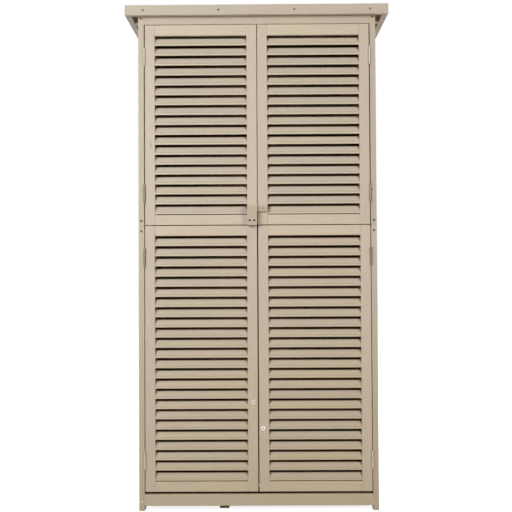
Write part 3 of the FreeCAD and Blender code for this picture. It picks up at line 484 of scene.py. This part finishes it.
# Cells along X, Y and Z: what lies in one cell has one tone.
WIDE = 9.0       # doesn't divide along that axis
HALF = 0.4       # only tells the left from the right
SEAM = 902 * MM  # tells a lower piece from an upper one
WHOLE = (WIDE, WIDE, WIDE)
STILE_CELL = (90 * MM, WIDE, SEAM)
POST_CELL = (100 * MM, 200 * MM, SEAM)
LEAF_RAIL_CELL = (HALF, WIDE, 60 * MM)
LONG_RAIL_CELL = (WIDE, 60 * MM, 300 * MM)
DEEP_RAIL_CELL = (60 * MM, WIDE, 400 * MM)

SLAT_COUNTS = {"lower": 24, "upper": 18}
SIDE_BOARDS = 4
BACK_BOARDS = 8


def dress(material, *names):
    # Gives CAD nodes their finish.
    for name in names:
        for holder in frame["nodes"][name].material_slots:
            holder.material = material


def both(*names):
    # The names of pieces that the left and the right side each have.
    return [f"{side}_{name}" for side in SIDES for name in names]


def dress_doors():
    for level in LEVELS:
        low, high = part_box(f"left_{level}_slats")
        pitch = (high.z - low.z - SLAT_HEIGHT) / (SLAT_COUNTS[level] - 1)
        inner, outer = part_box(f"right_{level}_slats")
        slats = stained_pine(f"stained_pine_{level}_slats", "x", (HALF, WIDE, pitch),
                             SLAT_TONES, (0, 0, BELOW - low.z),
                             slat_ends=(inner.x, outer.x), foot_shade_tone=DEEPER_FOOT_SHADE)
        dress(slats, *both(f"{level}_slats"))
        low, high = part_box(f"right_{level}_leaf_rails")
        leaf_rails = stained_pine(f"stained_pine_{level}_leaf_rails", "x", LEAF_RAIL_CELL,
                                  RAIL_TONES, joints=(low.x, high.x))
        dress(leaf_rails, *both(f"{level}_leaf_rails"))
    stiles = stained_pine("stained_pine_stiles", "z", STILE_CELL, STILE_TONES)
    dress(stiles, *both("upper_stiles", "lower_stiles"))
    dress(stained_pine("stained_pine_keeper", "z", WHOLE, LATCH_TONES), "latch_keeper")
    dress(stained_pine("stained_pine_latch_bar", "x", WHOLE, LATCH_TONES), "latch_bar")


def dress_frame():
    # Posts and slats take the deeper painted shade towards the foot.
    posts = stained_pine("stained_pine_posts", "z", POST_CELL, POST_TONES, foot_shade_tone=DEEPER_FOOT_SHADE)
    dress(posts, *both("front_post_lower", "rear_posts"), "left_front_post_upper")
    # A darker copy of the posts' stain for the right post's upper piece: painted shade.
    shaded_post = stained_pine("stained_pine_shaded_post", "z", POST_CELL, SHADED_POST_TONES,
                             foot_shade_tone=DEEPER_FOOT_SHADE)
    dress(shaded_post, "right_front_post_upper")
    # The header's darker tones are painted shade.
    header = stained_pine("stained_pine_header", "x", WHOLE, HEADER_TONES,
                          joints=(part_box("header_rail")[1].x,), streaks=FAINT_GRAIN)
    dress(header, "header_rail")
    long_rails = stained_pine("stained_pine_long_rails", "x", LONG_RAIL_CELL, POST_TONES,
                              streaks=FAINT_GRAIN)
    dress(long_rails, "bottom_rail", "fascia", "rear_trim", "roof_bearers")
    deep_rails = stained_pine("stained_pine_deep_rails", "y", DEEP_RAIL_CELL, POST_TONES)
    dress(deep_rails, *both("side_rails", "side_trim"))


def dress_walls():
    # Boards stand side by side along X at the back and along Y at the sides.
    for level in LEVELS:
        walls = {f"{side}_side_boards_{level}": (SIDE_BOARDS, 1, (-sign, 0, 0))
                 for side, sign in SIDES.items()}
        walls[f"back_boards_{level}"] = (BACK_BOARDS, 0, (0, -1, 0))
        for name, (count, axis, inside) in walls.items():
            low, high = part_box(name)
            cell = list(WHOLE)
            cell[axis] = (high[axis] - low[axis]) / count
            shift = [0, 0, 0]
            shift[axis] = -low[axis]
            dress(stained_pine("stained_pine_" + name, "z", cell, WALL_TONES, shift, inside),
                  name)


def dress_bare_wood():
    dress(bare_pine("bare_pine_boards", "y", BARE_TONES), "floor_boards", "roof_deck",
          "shelf_battens")
    dress(bare_pine("bare_pine_bearers", "x", BARE_TONES), "floor_bearers", "rear_rails",
          "low_shelf_rail", "low_shelf", "middle_shelf", "high_shelf")
    # The block's pale tones are painted light.
    dress(bare_pine("bare_pine_block_painted_light", "x", LIT_BLOCK_TONES), "support_block")


def dress_metal_and_felt():
    dress(hinge_zinc, "hinge_pins", *both("hinge_frame_leaves", "hinge_door_leaves"))
    dress(plate_zinc, *both("joining_plates"))
    dress(screw_zinc, "frame_screws", "keeper_screws")
    dress(pivot_zinc, "latch_pivot_screw")
    for side in SIDES:
        dress(strike_zinc[side], f"{side}_strike")
    dress(catch_plastic, "magnetic_catches")
    dress(mineral_felt(), "roofing_felt")


dress_doors()
dress_frame()
dress_walls()
dress_bare_wood()
dress_metal_and_felt()


# How fasteners are modelled: one head of each kind, facing up, and then copied

FACING_UP = (0, 0, 0)
FACING_DOWN = (2 * QUARTER_TURN, 0, 0)
FACING_FRONT = (QUARTER_TURN, 0, 0)
FACING_REAR = (-QUARTER_TURN, 0, 0)

RIM_SHARE = 0.45    # of a head's rise: what is rounded over at its rim
CROSS_DEPTH = 0.45  # of a head's rise: how deep its recess is
CROSS_SPAN = 1.1    # of a head's radius: how long the arms of a recess are
NARROW_ARMS = 0.26  # of a head's radius: how wide they are
BROAD_ARMS = 0.45
BROKEN_EDGE = 0.2   # of a plate's thickness: what is taken off its edges
SMOOTH_ANGLE = math.radians(35)


def facing_side(sign):
    # Turned to face the left for -1 and the right for 1.
    return (0, QUARTER_TURN * sign, 0)


def only(*things):
    # Selects these objects and no others.
    bpy.ops.object.select_all(action="DESELECT")
    for thing in things:
        thing.select_set(True)
    bpy.context.view_layer.objects.active = things[0]


def select_top(thing):
    # Edit mode with only the faces selected that face up.
    bpy.ops.object.mode_set(mode="EDIT")
    bpy.ops.mesh.select_mode(type="FACE")
    bpy.ops.mesh.select_all(action="DESELECT")
    bpy.ops.object.mode_set(mode="OBJECT")
    for face in thing.data.polygons:
        face.select = face.normal.z > 0.9
    bpy.ops.object.mode_set(mode="EDIT")


def round_head(name, radius, rise, sides):
    # A head on the XY plane that faces +Z, its rim rounded over.
    bpy.ops.object.select_all(action="DESELECT")
    bpy.ops.mesh.primitive_cylinder_add(vertices=sides, radius=radius, depth=rise,
                                        location=(0, 0, rise / 2))
    head = bpy.context.object
    head.name = name
    bpy.ops.object.transform_apply(location=True, rotation=True, scale=True)
    select_top(head)
    bpy.ops.mesh.bevel(offset=rise * RIM_SHARE, segments=2, affect="EDGES")
    bpy.ops.object.mode_set(mode="OBJECT")
    return head


def cross_recess(head, centre, radius, depth, turn=FACING_UP, arm_share=NARROW_ARMS):
    # Cuts the cross of a screwdriver into a head, from the middle of its outer face.
    for angle in (0, QUARTER_TURN):
        bpy.ops.object.select_all(action="DESELECT")
        bpy.ops.mesh.primitive_cube_add(size=1, location=centre)
        arm = bpy.context.object
        arm.scale = (radius * CROSS_SPAN, radius * arm_share, depth * 2)
        turned = Euler(turn).to_matrix() @ Matrix.Rotation(angle, 3, "Z")
        arm.rotation_euler = turned.to_euler()
        only(head)
        cut = head.modifiers.new("recess", "BOOLEAN")
        cut.object = arm
        cut.operation = "DIFFERENCE"
        cut.solver = "EXACT"
        bpy.ops.object.modifier_apply(modifier=cut.name)
        bpy.data.objects.remove(arm)
    return head


def crossed_head(name, radius, rise, sides):
    head = round_head(name, radius, rise, sides)
    return cross_recess(head, (0, 0, rise), radius, rise * CROSS_DEPTH)


def rounded_plate(name, width, depth, thickness, corner):
    # A flat plate on the XY plane with rounded corners and broken edges.
    bpy.ops.object.select_all(action="DESELECT")
    bpy.ops.mesh.primitive_cube_add(size=1, location=(0, 0, thickness / 2))
    plate = bpy.context.object
    plate.name = name
    plate.scale = (width, depth, thickness)
    bpy.ops.object.transform_apply(location=True, rotation=True, scale=True)
    bpy.ops.object.mode_set(mode="EDIT")
    bpy.ops.mesh.select_mode(type="EDGE")
    bpy.ops.mesh.select_all(action="DESELECT")
    bpy.ops.object.mode_set(mode="OBJECT")
    points = plate.data.vertices
    for edge in plate.data.edges:
        start, end = (points[number].co for number in edge.vertices)
        edge.select = abs(start.z - end.z) > thickness / 2
    bpy.ops.object.mode_set(mode="EDIT")
    bpy.ops.mesh.bevel(offset=corner, segments=4, affect="EDGES")
    bpy.ops.object.mode_set(mode="OBJECT")
    select_top(plate)
    bpy.ops.mesh.bevel(offset=thickness * BROKEN_EDGE, segments=2, affect="EDGES")
    bpy.ops.object.mode_set(mode="OBJECT")
    return plate


def join(things):
    # Makes several objects one, or selects the only one there is.
    only(*things)
    if len(things) > 1:
        bpy.ops.object.join()


def copies(model, name, places, turn):
    # Copies of a model at several places, turned alike and joined into one piece.
    made = []
    for place in places:
        only(model)
        bpy.ops.object.duplicate(linked=False)
        copy = bpy.context.object
        copy.location = place
        copy.rotation_euler = turn
        made.append(copy)
    join(made)
    bpy.ops.object.transform_apply(location=True, rotation=True, scale=True)
    piece = bpy.context.object
    piece.name = name
    piece.data.name = name
    return piece


def settle(piece, body, material):
    # Gives a new piece its finish and the body that it rides on.
    piece.data.materials.clear()
    piece.data.materials.append(material)
    only(piece)
    bpy.ops.object.shade_smooth_by_angle(angle=SMOOTH_ANGLE)
    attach(piece, body)


# Screws of the hinges, the joining plates and the catches

HINGE_LENGTH = 55 * MM
SEAM_INSET = 100 * MM      # from the ends of the leaves at the seam to their hinges
HINGE_SCREW_PITCH = 18 * MM
HALF_HINGE_GAP = 0.3 * MM  # from the hinge axis to the face of a closed leaf
SUNK = 0.5 * MM            # how far the foot of a countersunk head lies under the face

PLATE_WIDTH = 20 * MM
PLATE_SCREWS = (10 * MM, 34 * MM)  # from each end of a plate

CATCH_WIDTH = 25 * MM
CATCH_HEIGHT = 24 * MM
EAR_LENGTH = 9 * MM
EAR_WIDTH = 12 * MM
EAR_THICKNESS = 1.8 * MM
EAR_CORNER = 3 * MM
POLE_WIDTH = 20 * MM
POLE_THICKNESS = 2 * MM
POLE_RISE = 0.2 * MM
POLE_CORNER = 0.5 * MM
POLE_STEP = 6 * MM  # from the middle of a catch to each pole


def hinge_heights():
    # Middles of the four hinges of a door.
    low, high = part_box("left_hinge_door_leaves")
    seam_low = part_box("left_lower_stiles")[1].z
    seam_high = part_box("left_upper_stiles")[0].z
    return [low.z + HINGE_LENGTH / 2, seam_low - SEAM_INSET,
            seam_high + SEAM_INSET, high.z - HINGE_LENGTH / 2]


def pin_line(side):
    # The X of a door's hinge axis.
    joint = next(j for j in frame["joints"] if j["child"] == f"{side}_door")
    return joint["pos_m"][0]


def make_hinge_screws(head):
    # Three countersunk screws to each hinge leaf, seen when the door is open.
    heights = [hinge + step * HINGE_SCREW_PITCH for hinge in hinge_heights()
               for step in (-1, 0, 1)]
    y = middle(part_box("left_upper_stiles")).y
    for side, sign in SIDES.items():
        # The frame leaf shows its face towards the middle, the door leaf outwards.
        for kind, body, towards in (("frame", "carcass", -sign), ("door", f"{side}_door", sign)):
            x = pin_line(side) - towards * (HALF_HINGE_GAP + SUNK)
            places = [(x, y, height) for height in heights]
            settle(copies(head, f"{side}_{kind}_hinge_screws", places, facing_side(towards)),
                   body, hinge_zinc)


def make_plate_screws(head):
    # Four screws in each plate on a door's back that joins its lower leaf to the upper one.
    for side in SIDES:
        low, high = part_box(f"{side}_joining_plates")
        places = [(x, high.y, z) for x in (low.x + PLATE_WIDTH / 2, high.x - PLATE_WIDTH / 2)
                  for inset in PLATE_SCREWS for z in (low.z + inset, high.z - inset)]
        settle(copies(head, f"{side}_joining_plate_screws", places, FACING_REAR),
               f"{side}_door", plate_zinc)


def make_catch_fittings(head):
    # The ears that hold each magnetic catch, their screws, and the two steel poles that
    # stand a little out of its front. The left catch stands on the low shelf, and the right
    # one hangs under the shelf's rail.
    low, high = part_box("magnetic_catches")
    y = middle(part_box("low_shelf_rail")).y
    ears = rounded_plate("ears", CATCH_WIDTH + 2 * EAR_LENGTH, EAR_WIDTH, EAR_THICKNESS,
                         EAR_CORNER)
    reach = (CATCH_WIDTH + EAR_LENGTH) / 2
    poles = []
    for side, turn, up, seat in (("left", FACING_UP, 1, high.z - CATCH_HEIGHT),
                                 ("right", FACING_DOWN, -1, low.z + CATCH_HEIGHT)):
        x = SIDES[side] * (high.x - CATCH_WIDTH / 2)
        settle(copies(ears, f"{side}_catch_ears", [(x, y, seat)], turn), "carcass",
               catch_plastic)
        places = [(x + step * reach, y, seat + up * EAR_THICKNESS) for step in (-1, 1)]
        settle(copies(head, f"{side}_catch_screws", places, turn), "carcass", plate_zinc)
        poles += [(x, low.y, seat + up * (CATCH_HEIGHT / 2 + step * POLE_STEP))
                  for step in (-1, 1)]
    pole = rounded_plate("pole", POLE_WIDTH, POLE_THICKNESS, POLE_RISE, POLE_CORNER)
    settle(copies(pole, "catch_poles", poles, FACING_FRONT), "carcass", plate_zinc)
    bpy.data.objects.remove(ears)
    bpy.data.objects.remove(pole)


# Screws of the rear posts and the roof's trims

POST_SCREW_HEIGHTS = (28 * MM, 883.5 * MM, 916.5 * MM, 1564.6 * MM)
REAR_TRIM_SCREWS = (-360 * MM, -120 * MM, 120 * MM, 360 * MM)
SIDE_TRIM_SCREWS = (-150 * MM, 0, 150 * MM)


def make_outer_screws(head):
    # Screws seen from the back and the sides: through the rear posts into the side rails,
    # through the rear trim and through the side trims.
    for side, sign in SIDES.items():
        low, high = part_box(f"{side}_rear_posts")
        places = [(middle((low, high)).x, high.y, z) for z in POST_SCREW_HEIGHTS]
        settle(copies(head, f"{side}_rear_post_screws", places, FACING_REAR), "carcass",
               screw_zinc)
        low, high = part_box(f"{side}_side_trim")
        face = (high if sign > 0 else low).x - sign * SUNK
        places = [(face, y, middle((low, high)).z) for y in SIDE_TRIM_SCREWS]
        settle(copies(head, f"{side}_side_trim_screws", places, facing_side(sign)), "carcass",
               screw_zinc)
    low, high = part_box("rear_trim")
    places = [(x, high.y - SUNK, middle((low, high)).z) for x in REAR_TRIM_SCREWS]
    settle(copies(head, "rear_trim_screws", places, FACING_REAR), "carcass", screw_zinc)


# Nails of the boards and the felt

NAIL_SHARES = (0.25, 0.75)  # two nails across a board
BOARD_NAIL_INSET = 18 * MM  # from the ends of the back boards at the top and the bottom
SEAM_NAIL_INSET = 9 * MM    # from their ends at the seam, where two boards share a rail
FLOOR_BOARDS = 8
FLOOR_NAIL_INSET = 15 * MM  # from the outer edges of the bearers
SHELF_BOARDS = 5
SHELF_GAP = 6 * MM
SHELF_NAIL_INSET = 9 * MM   # from the ends of the shelf boards, over a batten
FELT_NAILS = (9, 5)         # along the front and rear edges of the felt, and along its sides
FELT_NAIL_INSET = 14 * MM
FELT_NAIL_SUNK = 0.1 * MM
POST_PIN = (3.2 * MM, 9.4 * MM)  # right of the post's inner edge, above the hinge's middle


def make_back_nails(head):
    # Two nails where each back board crosses a rail.
    for level, inset_low, inset_high in (("lower", BOARD_NAIL_INSET, SEAM_NAIL_INSET),
                                         ("upper", SEAM_NAIL_INSET, BOARD_NAIL_INSET)):
        low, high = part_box(f"back_boards_{level}")
        board = (high.x - low.x) / BACK_BOARDS
        places = [(low.x + (number + share) * board, high.y, height)
                  for number in range(BACK_BOARDS) for share in NAIL_SHARES
                  for height in (low.z + inset_low, high.z - inset_high)]
        settle(copies(head, f"back_board_nails_{level}", places, FACING_REAR), "carcass",
               screw_zinc)


def make_floor_nails(head):
    # Two nails where each floor board crosses a bearer.
    low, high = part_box("floor_boards")
    board = (high.x - low.x) / FLOOR_BOARDS
    front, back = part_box("floor_bearers")
    places = [(low.x + (number + share) * board, y, high.z)
              for number in range(FLOOR_BOARDS) for share in NAIL_SHARES
              for y in (front.y + FLOOR_NAIL_INSET, back.y - FLOOR_NAIL_INSET)]
    settle(copies(head, "floor_nails", places, FACING_UP), "carcass", plate_zinc)


def make_shelf_nails(head):
    # One nail where each shelf board rests on a batten.
    places = []
    for shelf in ("low_shelf", "middle_shelf", "high_shelf"):
        low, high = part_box(shelf)
        board = (high.y - low.y + SHELF_GAP) / SHELF_BOARDS
        places += [(x, low.y + (number + 0.5) * board - SHELF_GAP / 2, high.z)
                   for x in (low.x + SHELF_NAIL_INSET, high.x - SHELF_NAIL_INSET)
                   for number in range(SHELF_BOARDS)]
    settle(copies(head, "shelf_nails", places, FACING_UP), "carcass", plate_zinc)


def make_felt_nails(head):
    # Broad-headed galvanised nails along all four edges of the felt, which slopes forward.
    low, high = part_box("roofing_felt")
    rear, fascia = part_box("rear_trim"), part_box("fascia")
    slope = math.atan2(rear[1].z - fascia[1].z, rear[1].y - fascia[0].y)
    left, right = low.x + FELT_NAIL_INSET, high.x - FELT_NAIL_INSET
    near, far = low.y + FELT_NAIL_INSET, high.y - FELT_NAIL_INSET
    along, deep = FELT_NAILS
    places = [(left + (right - left) * number / (along - 1), y)
              for number in range(along) for y in (near, far)]
    places += [(x, near + (far - near) * number / (deep - 1))
               for number in range(1, deep - 1) for x in (left, right)]
    places = [(x, y, high.z - (high.y - y) * math.tan(slope) - FELT_NAIL_SUNK)
              for x, y in places]
    settle(copies(head, "felt_nails", places, (slope, 0, 0)), "carcass", plate_zinc)


def make_post_pin(head):
    # One dark panel pin beside the third hinge of the right door.
    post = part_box("right_front_post_upper")[0]
    place = (post.x + POST_PIN[0], post.y, hinge_heights()[2] + POST_PIN[1])
    settle(copies(head, "right_post_pin", [place], FACING_FRONT), "carcass", screw_zinc)


# Screws that the frame has, with a cross in each head

MERGE_DISTANCE = 0.001 * MM
RECESS_DEPTH = 0.3      # of the head's radius, as the next two are
RECESS_REACH = 0.6
FACE_MARGIN = 0.05
STRIKE_DEPTH = 12 * MM  # behind the face of a stile: what lies deeper is the strike plate


def recess_screws(node, body, material, arm_share=NARROW_ARMS, plate=None):
    # The screws of a CAD node again, with the cross of a screwdriver in each head, and
    # with a finish of its own for a plate behind the wood.
    only(frame["nodes"][node])
    bpy.ops.object.duplicate(linked=False)
    del bpy.context.object["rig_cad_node"]
    bpy.ops.object.mode_set(mode="EDIT")
    bpy.ops.mesh.select_all(action="SELECT")
    bpy.ops.mesh.remove_doubles(threshold=MERGE_DISTANCE)
    bpy.ops.mesh.separate(type="LOOSE")
    bpy.ops.object.mode_set(mode="OBJECT")
    solids = list(bpy.context.selected_objects)
    heads = []
    for solid in solids:
        corners = [Vector(corner) for corner in solid.bound_box]
        low, high = corners[0], corners[6]
        if high.y - low.y > high.x - low.x:  # a screw, and not the plate under it
            centre = Vector(((low.x + high.x) / 2, low.y, (low.z + high.z) / 2))
            radius = (high.x - low.x) / 2
            cross_recess(solid, centre, radius, radius * RECESS_DEPTH, FACING_FRONT, arm_share)
            heads.append((centre, radius))
    join(solids)
    piece = bpy.context.object
    piece.name = node + "_crossed"
    piece.data.name = piece.name
    settle(piece, body, material)
    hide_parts(node)
    # The recesses get a darker tone: painted shade.
    piece.data.materials.append(recess_shade)
    if plate:
        piece.data.materials.append(plate)
    for face in piece.data.polygons:
        for centre, radius in heads:
            away = face.center - centre
            sunk = FACE_MARGIN * radius < away.y < (RECESS_DEPTH + FACE_MARGIN) * radius
            if sunk and math.hypot(away.x, away.z) < RECESS_REACH * radius:
                face.material_index = 1
            elif plate and away.y > STRIKE_DEPTH:
                face.material_index = 2


# Heads: radius, rise and sides.
SMALL_SCREW = (2.8 * MM, 0.7 * MM, 14)
BROAD_SCREW = (3.4 * MM, 0.9 * MM, 16)
NAIL = (2.2 * MM, 0.5 * MM, 10)
CLOUT_NAIL = (5 * MM, 0.9 * MM, 12)


def make_fasteners():
    small = crossed_head("small_screw", *SMALL_SCREW)
    broad = crossed_head("broad_screw", *BROAD_SCREW)
    nail = round_head("nail", *NAIL)
    clout = round_head("clout", *CLOUT_NAIL)
    make_hinge_screws(small)
    make_plate_screws(small)
    make_catch_fittings(small)
    make_outer_screws(broad)
    make_back_nails(nail)
    make_floor_nails(nail)
    make_shelf_nails(nail)
    make_post_pin(nail)
    make_felt_nails(clout)
    for model in (small, broad, nail, clout):
        bpy.data.objects.remove(model)
    recess_screws("frame_screws", "carcass", screw_zinc, arm_share=BROAD_ARMS)
    recess_screws("keeper_screws", "left_door", screw_zinc)
    recess_screws("latch_pivot_screw", "right_door", pivot_zinc)
    for side in SIDES:
        recess_screws(f"{side}_strike", f"{side}_door", strike_zinc[side],
                      arm_share=BROAD_ARMS, plate=plate_zinc)


make_fasteners()


# Studio

WHITE = linear("FFFFFF")
FLOOR_SIZE = 30.0
FLOOR_GLOW = (0.84, 1.0)  # near the cabinet and far away
GLOW_REACH = (0.6, 2.5)
FLOOR_SEEN = "F0F0F0"
FLOOR_LIT = "8C8A86"      # for the light that the floor throws back, so that it stays low
DARK_CENTRE = (0, 0.051)  # under the cabinet's floor, where no light comes
DARK_REACH = (0.36, 0.156)
FILL = 0.08


def seen_rays(tree):
    # 1 for rays that show the background: straight, mirrored or through glass.
    path = add(tree, "LightPath").node.outputs
    seen = add(tree, "Math", {0: path["Is Camera Ray"], 1: path["Is Glossy Ray"]},
               operation="MAXIMUM")
    return add(tree, "Math", {0: seen, 1: path["Is Transmission Ray"]}, operation="MAXIMUM")


def studio_floor():
    # A plain white floor. What the camera sees of it is lifted to white, and it still takes
    # the shadow where the feet stand, and stays dark under the middle of the cabinet.
    bpy.ops.object.select_all(action="DESELECT")
    bpy.ops.mesh.primitive_plane_add(size=FLOOR_SIZE, location=(0, 0, 0))
    floor = bpy.context.object
    floor.name = "studio_floor"
    material, tree, coords = blank_material("white_studio_floor")
    seen = seen_rays(tree)
    away = add(tree, "VectorMath", {0: coords["Object"]}, "Value", operation="LENGTH")
    glow = add(tree, "MapRange", {0: away, 1: GLOW_REACH[0], 2: GLOW_REACH[1],
                                  3: FLOOR_GLOW[0], 4: FLOOR_GLOW[1]})
    glow = add(tree, "Math", {0: seen, 1: glow}, operation="MULTIPLY")
    place = add(tree, "SeparateXYZ", {0: coords["Object"]}).node.outputs
    under = [add(tree, "Math", {0: place[axis], 1: DARK_CENTRE[axis], 2: DARK_REACH[axis]},
                 operation="COMPARE") for axis in (0, 1)]
    under = add(tree, "Math", {0: under[0], 1: under[1]}, operation="MULTIPLY")
    open_floor = add(tree, "Math", {0: 1.0, 1: under}, operation="SUBTRACT")
    glow = add(tree, "Math", {0: glow, 1: open_floor}, operation="MULTIPLY")
    light = add(tree, "Emission", {"Color": WHITE, "Strength": glow})
    colour = add(tree, "Mix", {0: seen, 6: linear(FLOOR_LIT), 7: linear(FLOOR_SEEN)}, 2,
                 data_type="RGBA")
    paint = add(tree, "BsdfDiffuse", {"Color": colour})
    lifted = add(tree, "AddShader", {0: light, 1: paint})
    add(tree, "OutputMaterial", {"Surface": lifted})
    floor.data.materials.append(material)


def studio_world():
    # A little light from all round, behind a background that is seen as white.
    world = bpy.data.worlds.new("studio")
    scene.world = world
    world.use_nodes = True
    tree = world.node_tree
    tree.nodes.clear()
    fill = add(tree, "Background", {"Color": WHITE, "Strength": FILL})
    white = add(tree, "Background", {"Color": WHITE, "Strength": 1.0})
    shown = add(tree, "MixShader", {0: seen_rays(tree), 1: fill, 2: white})
    add(tree, "OutputWorld", {"Surface": shown})


def soft_box(name, place, aim, size, watts, tint="FFFFFF"):
    # A studio lamp with a wide white cloth.
    bpy.ops.object.light_add(type="AREA", location=place)
    lamp = bpy.context.object
    lamp.name = name
    lamp.data.shape = "RECTANGLE"
    lamp.data.size, lamp.data.size_y = size
    lamp.data.energy = watts
    lamp.data.color = linear(tint)[:3]
    lamp.rotation_euler = (Vector(aim) - Vector(place)).to_track_quat("-Z", "Y").to_euler()


def studio_lamps():
    # The front pair lights the doors as in the photograph. The others stand behind the plane
    # of the doors and above the roof, so that the back, the sides and the felt are lit too.
    doors = (0, -0.2, 1.0)
    soft_box("left_soft_box", place=(-1.4, -2.5, 1.55), aim=doors, size=(1.3, 1.2), watts=46)
    soft_box("right_soft_box", place=(1.9, -3.0, 1.55), aim=doors, size=(1.4, 1.2), watts=43,
             tint="FFF1DC")
    for side, sign in SIDES.items():
        soft_box(f"{side}_rear_soft_box", place=(sign * 2.5, 2.1, 1.6), aim=(0, 0.1, 0.9),
                 size=(1.3, 1.2), watts=34)
    for side, sign in SIDES.items():
        soft_box(f"{side}_side_soft_box", place=(sign * 2.6, 0.45, 1.3), aim=(0, 0.1, 0.8),
                 size=(0.9, 1.2), watts=11)
    soft_box("roof_soft_box", place=(0, 0.9, 3.6), aim=(0, 0.2, 1.6), size=(1.0, 1.0),
             watts=20)


# Camera: seen from the front, a little right of the middle and below half height
CAMERA_PLACE = (21.1 * MM, -3410.5 * MM, 717.9 * MM)
CAMERA_YAW = math.radians(-0.475)
CAMERA_PITCH = math.radians(1.527)
CAMERA_ROLL = math.radians(-0.300)
FOCAL_LENGTH = 71.11  # in millimetres, as lenses are marked


def studio_camera():
    bpy.ops.object.camera_add(location=CAMERA_PLACE)
    camera = bpy.context.object
    camera.data.lens = FOCAL_LENGTH
    ahead = Vector((math.sin(CAMERA_YAW) * math.cos(CAMERA_PITCH),
                    math.cos(CAMERA_YAW) * math.cos(CAMERA_PITCH), math.sin(CAMERA_PITCH)))
    level = Vector((math.cos(CAMERA_YAW), -math.sin(CAMERA_YAW), 0))
    upright = level.cross(ahead)
    right = level * math.cos(CAMERA_ROLL) + upright * math.sin(CAMERA_ROLL)
    up = upright * math.cos(CAMERA_ROLL) - level * math.sin(CAMERA_ROLL)
    camera.rotation_euler = Matrix((right, up, -ahead)).transposed().to_euler()
    scene.camera = camera


studio_floor()
studio_world()
studio_lamps()
studio_camera()
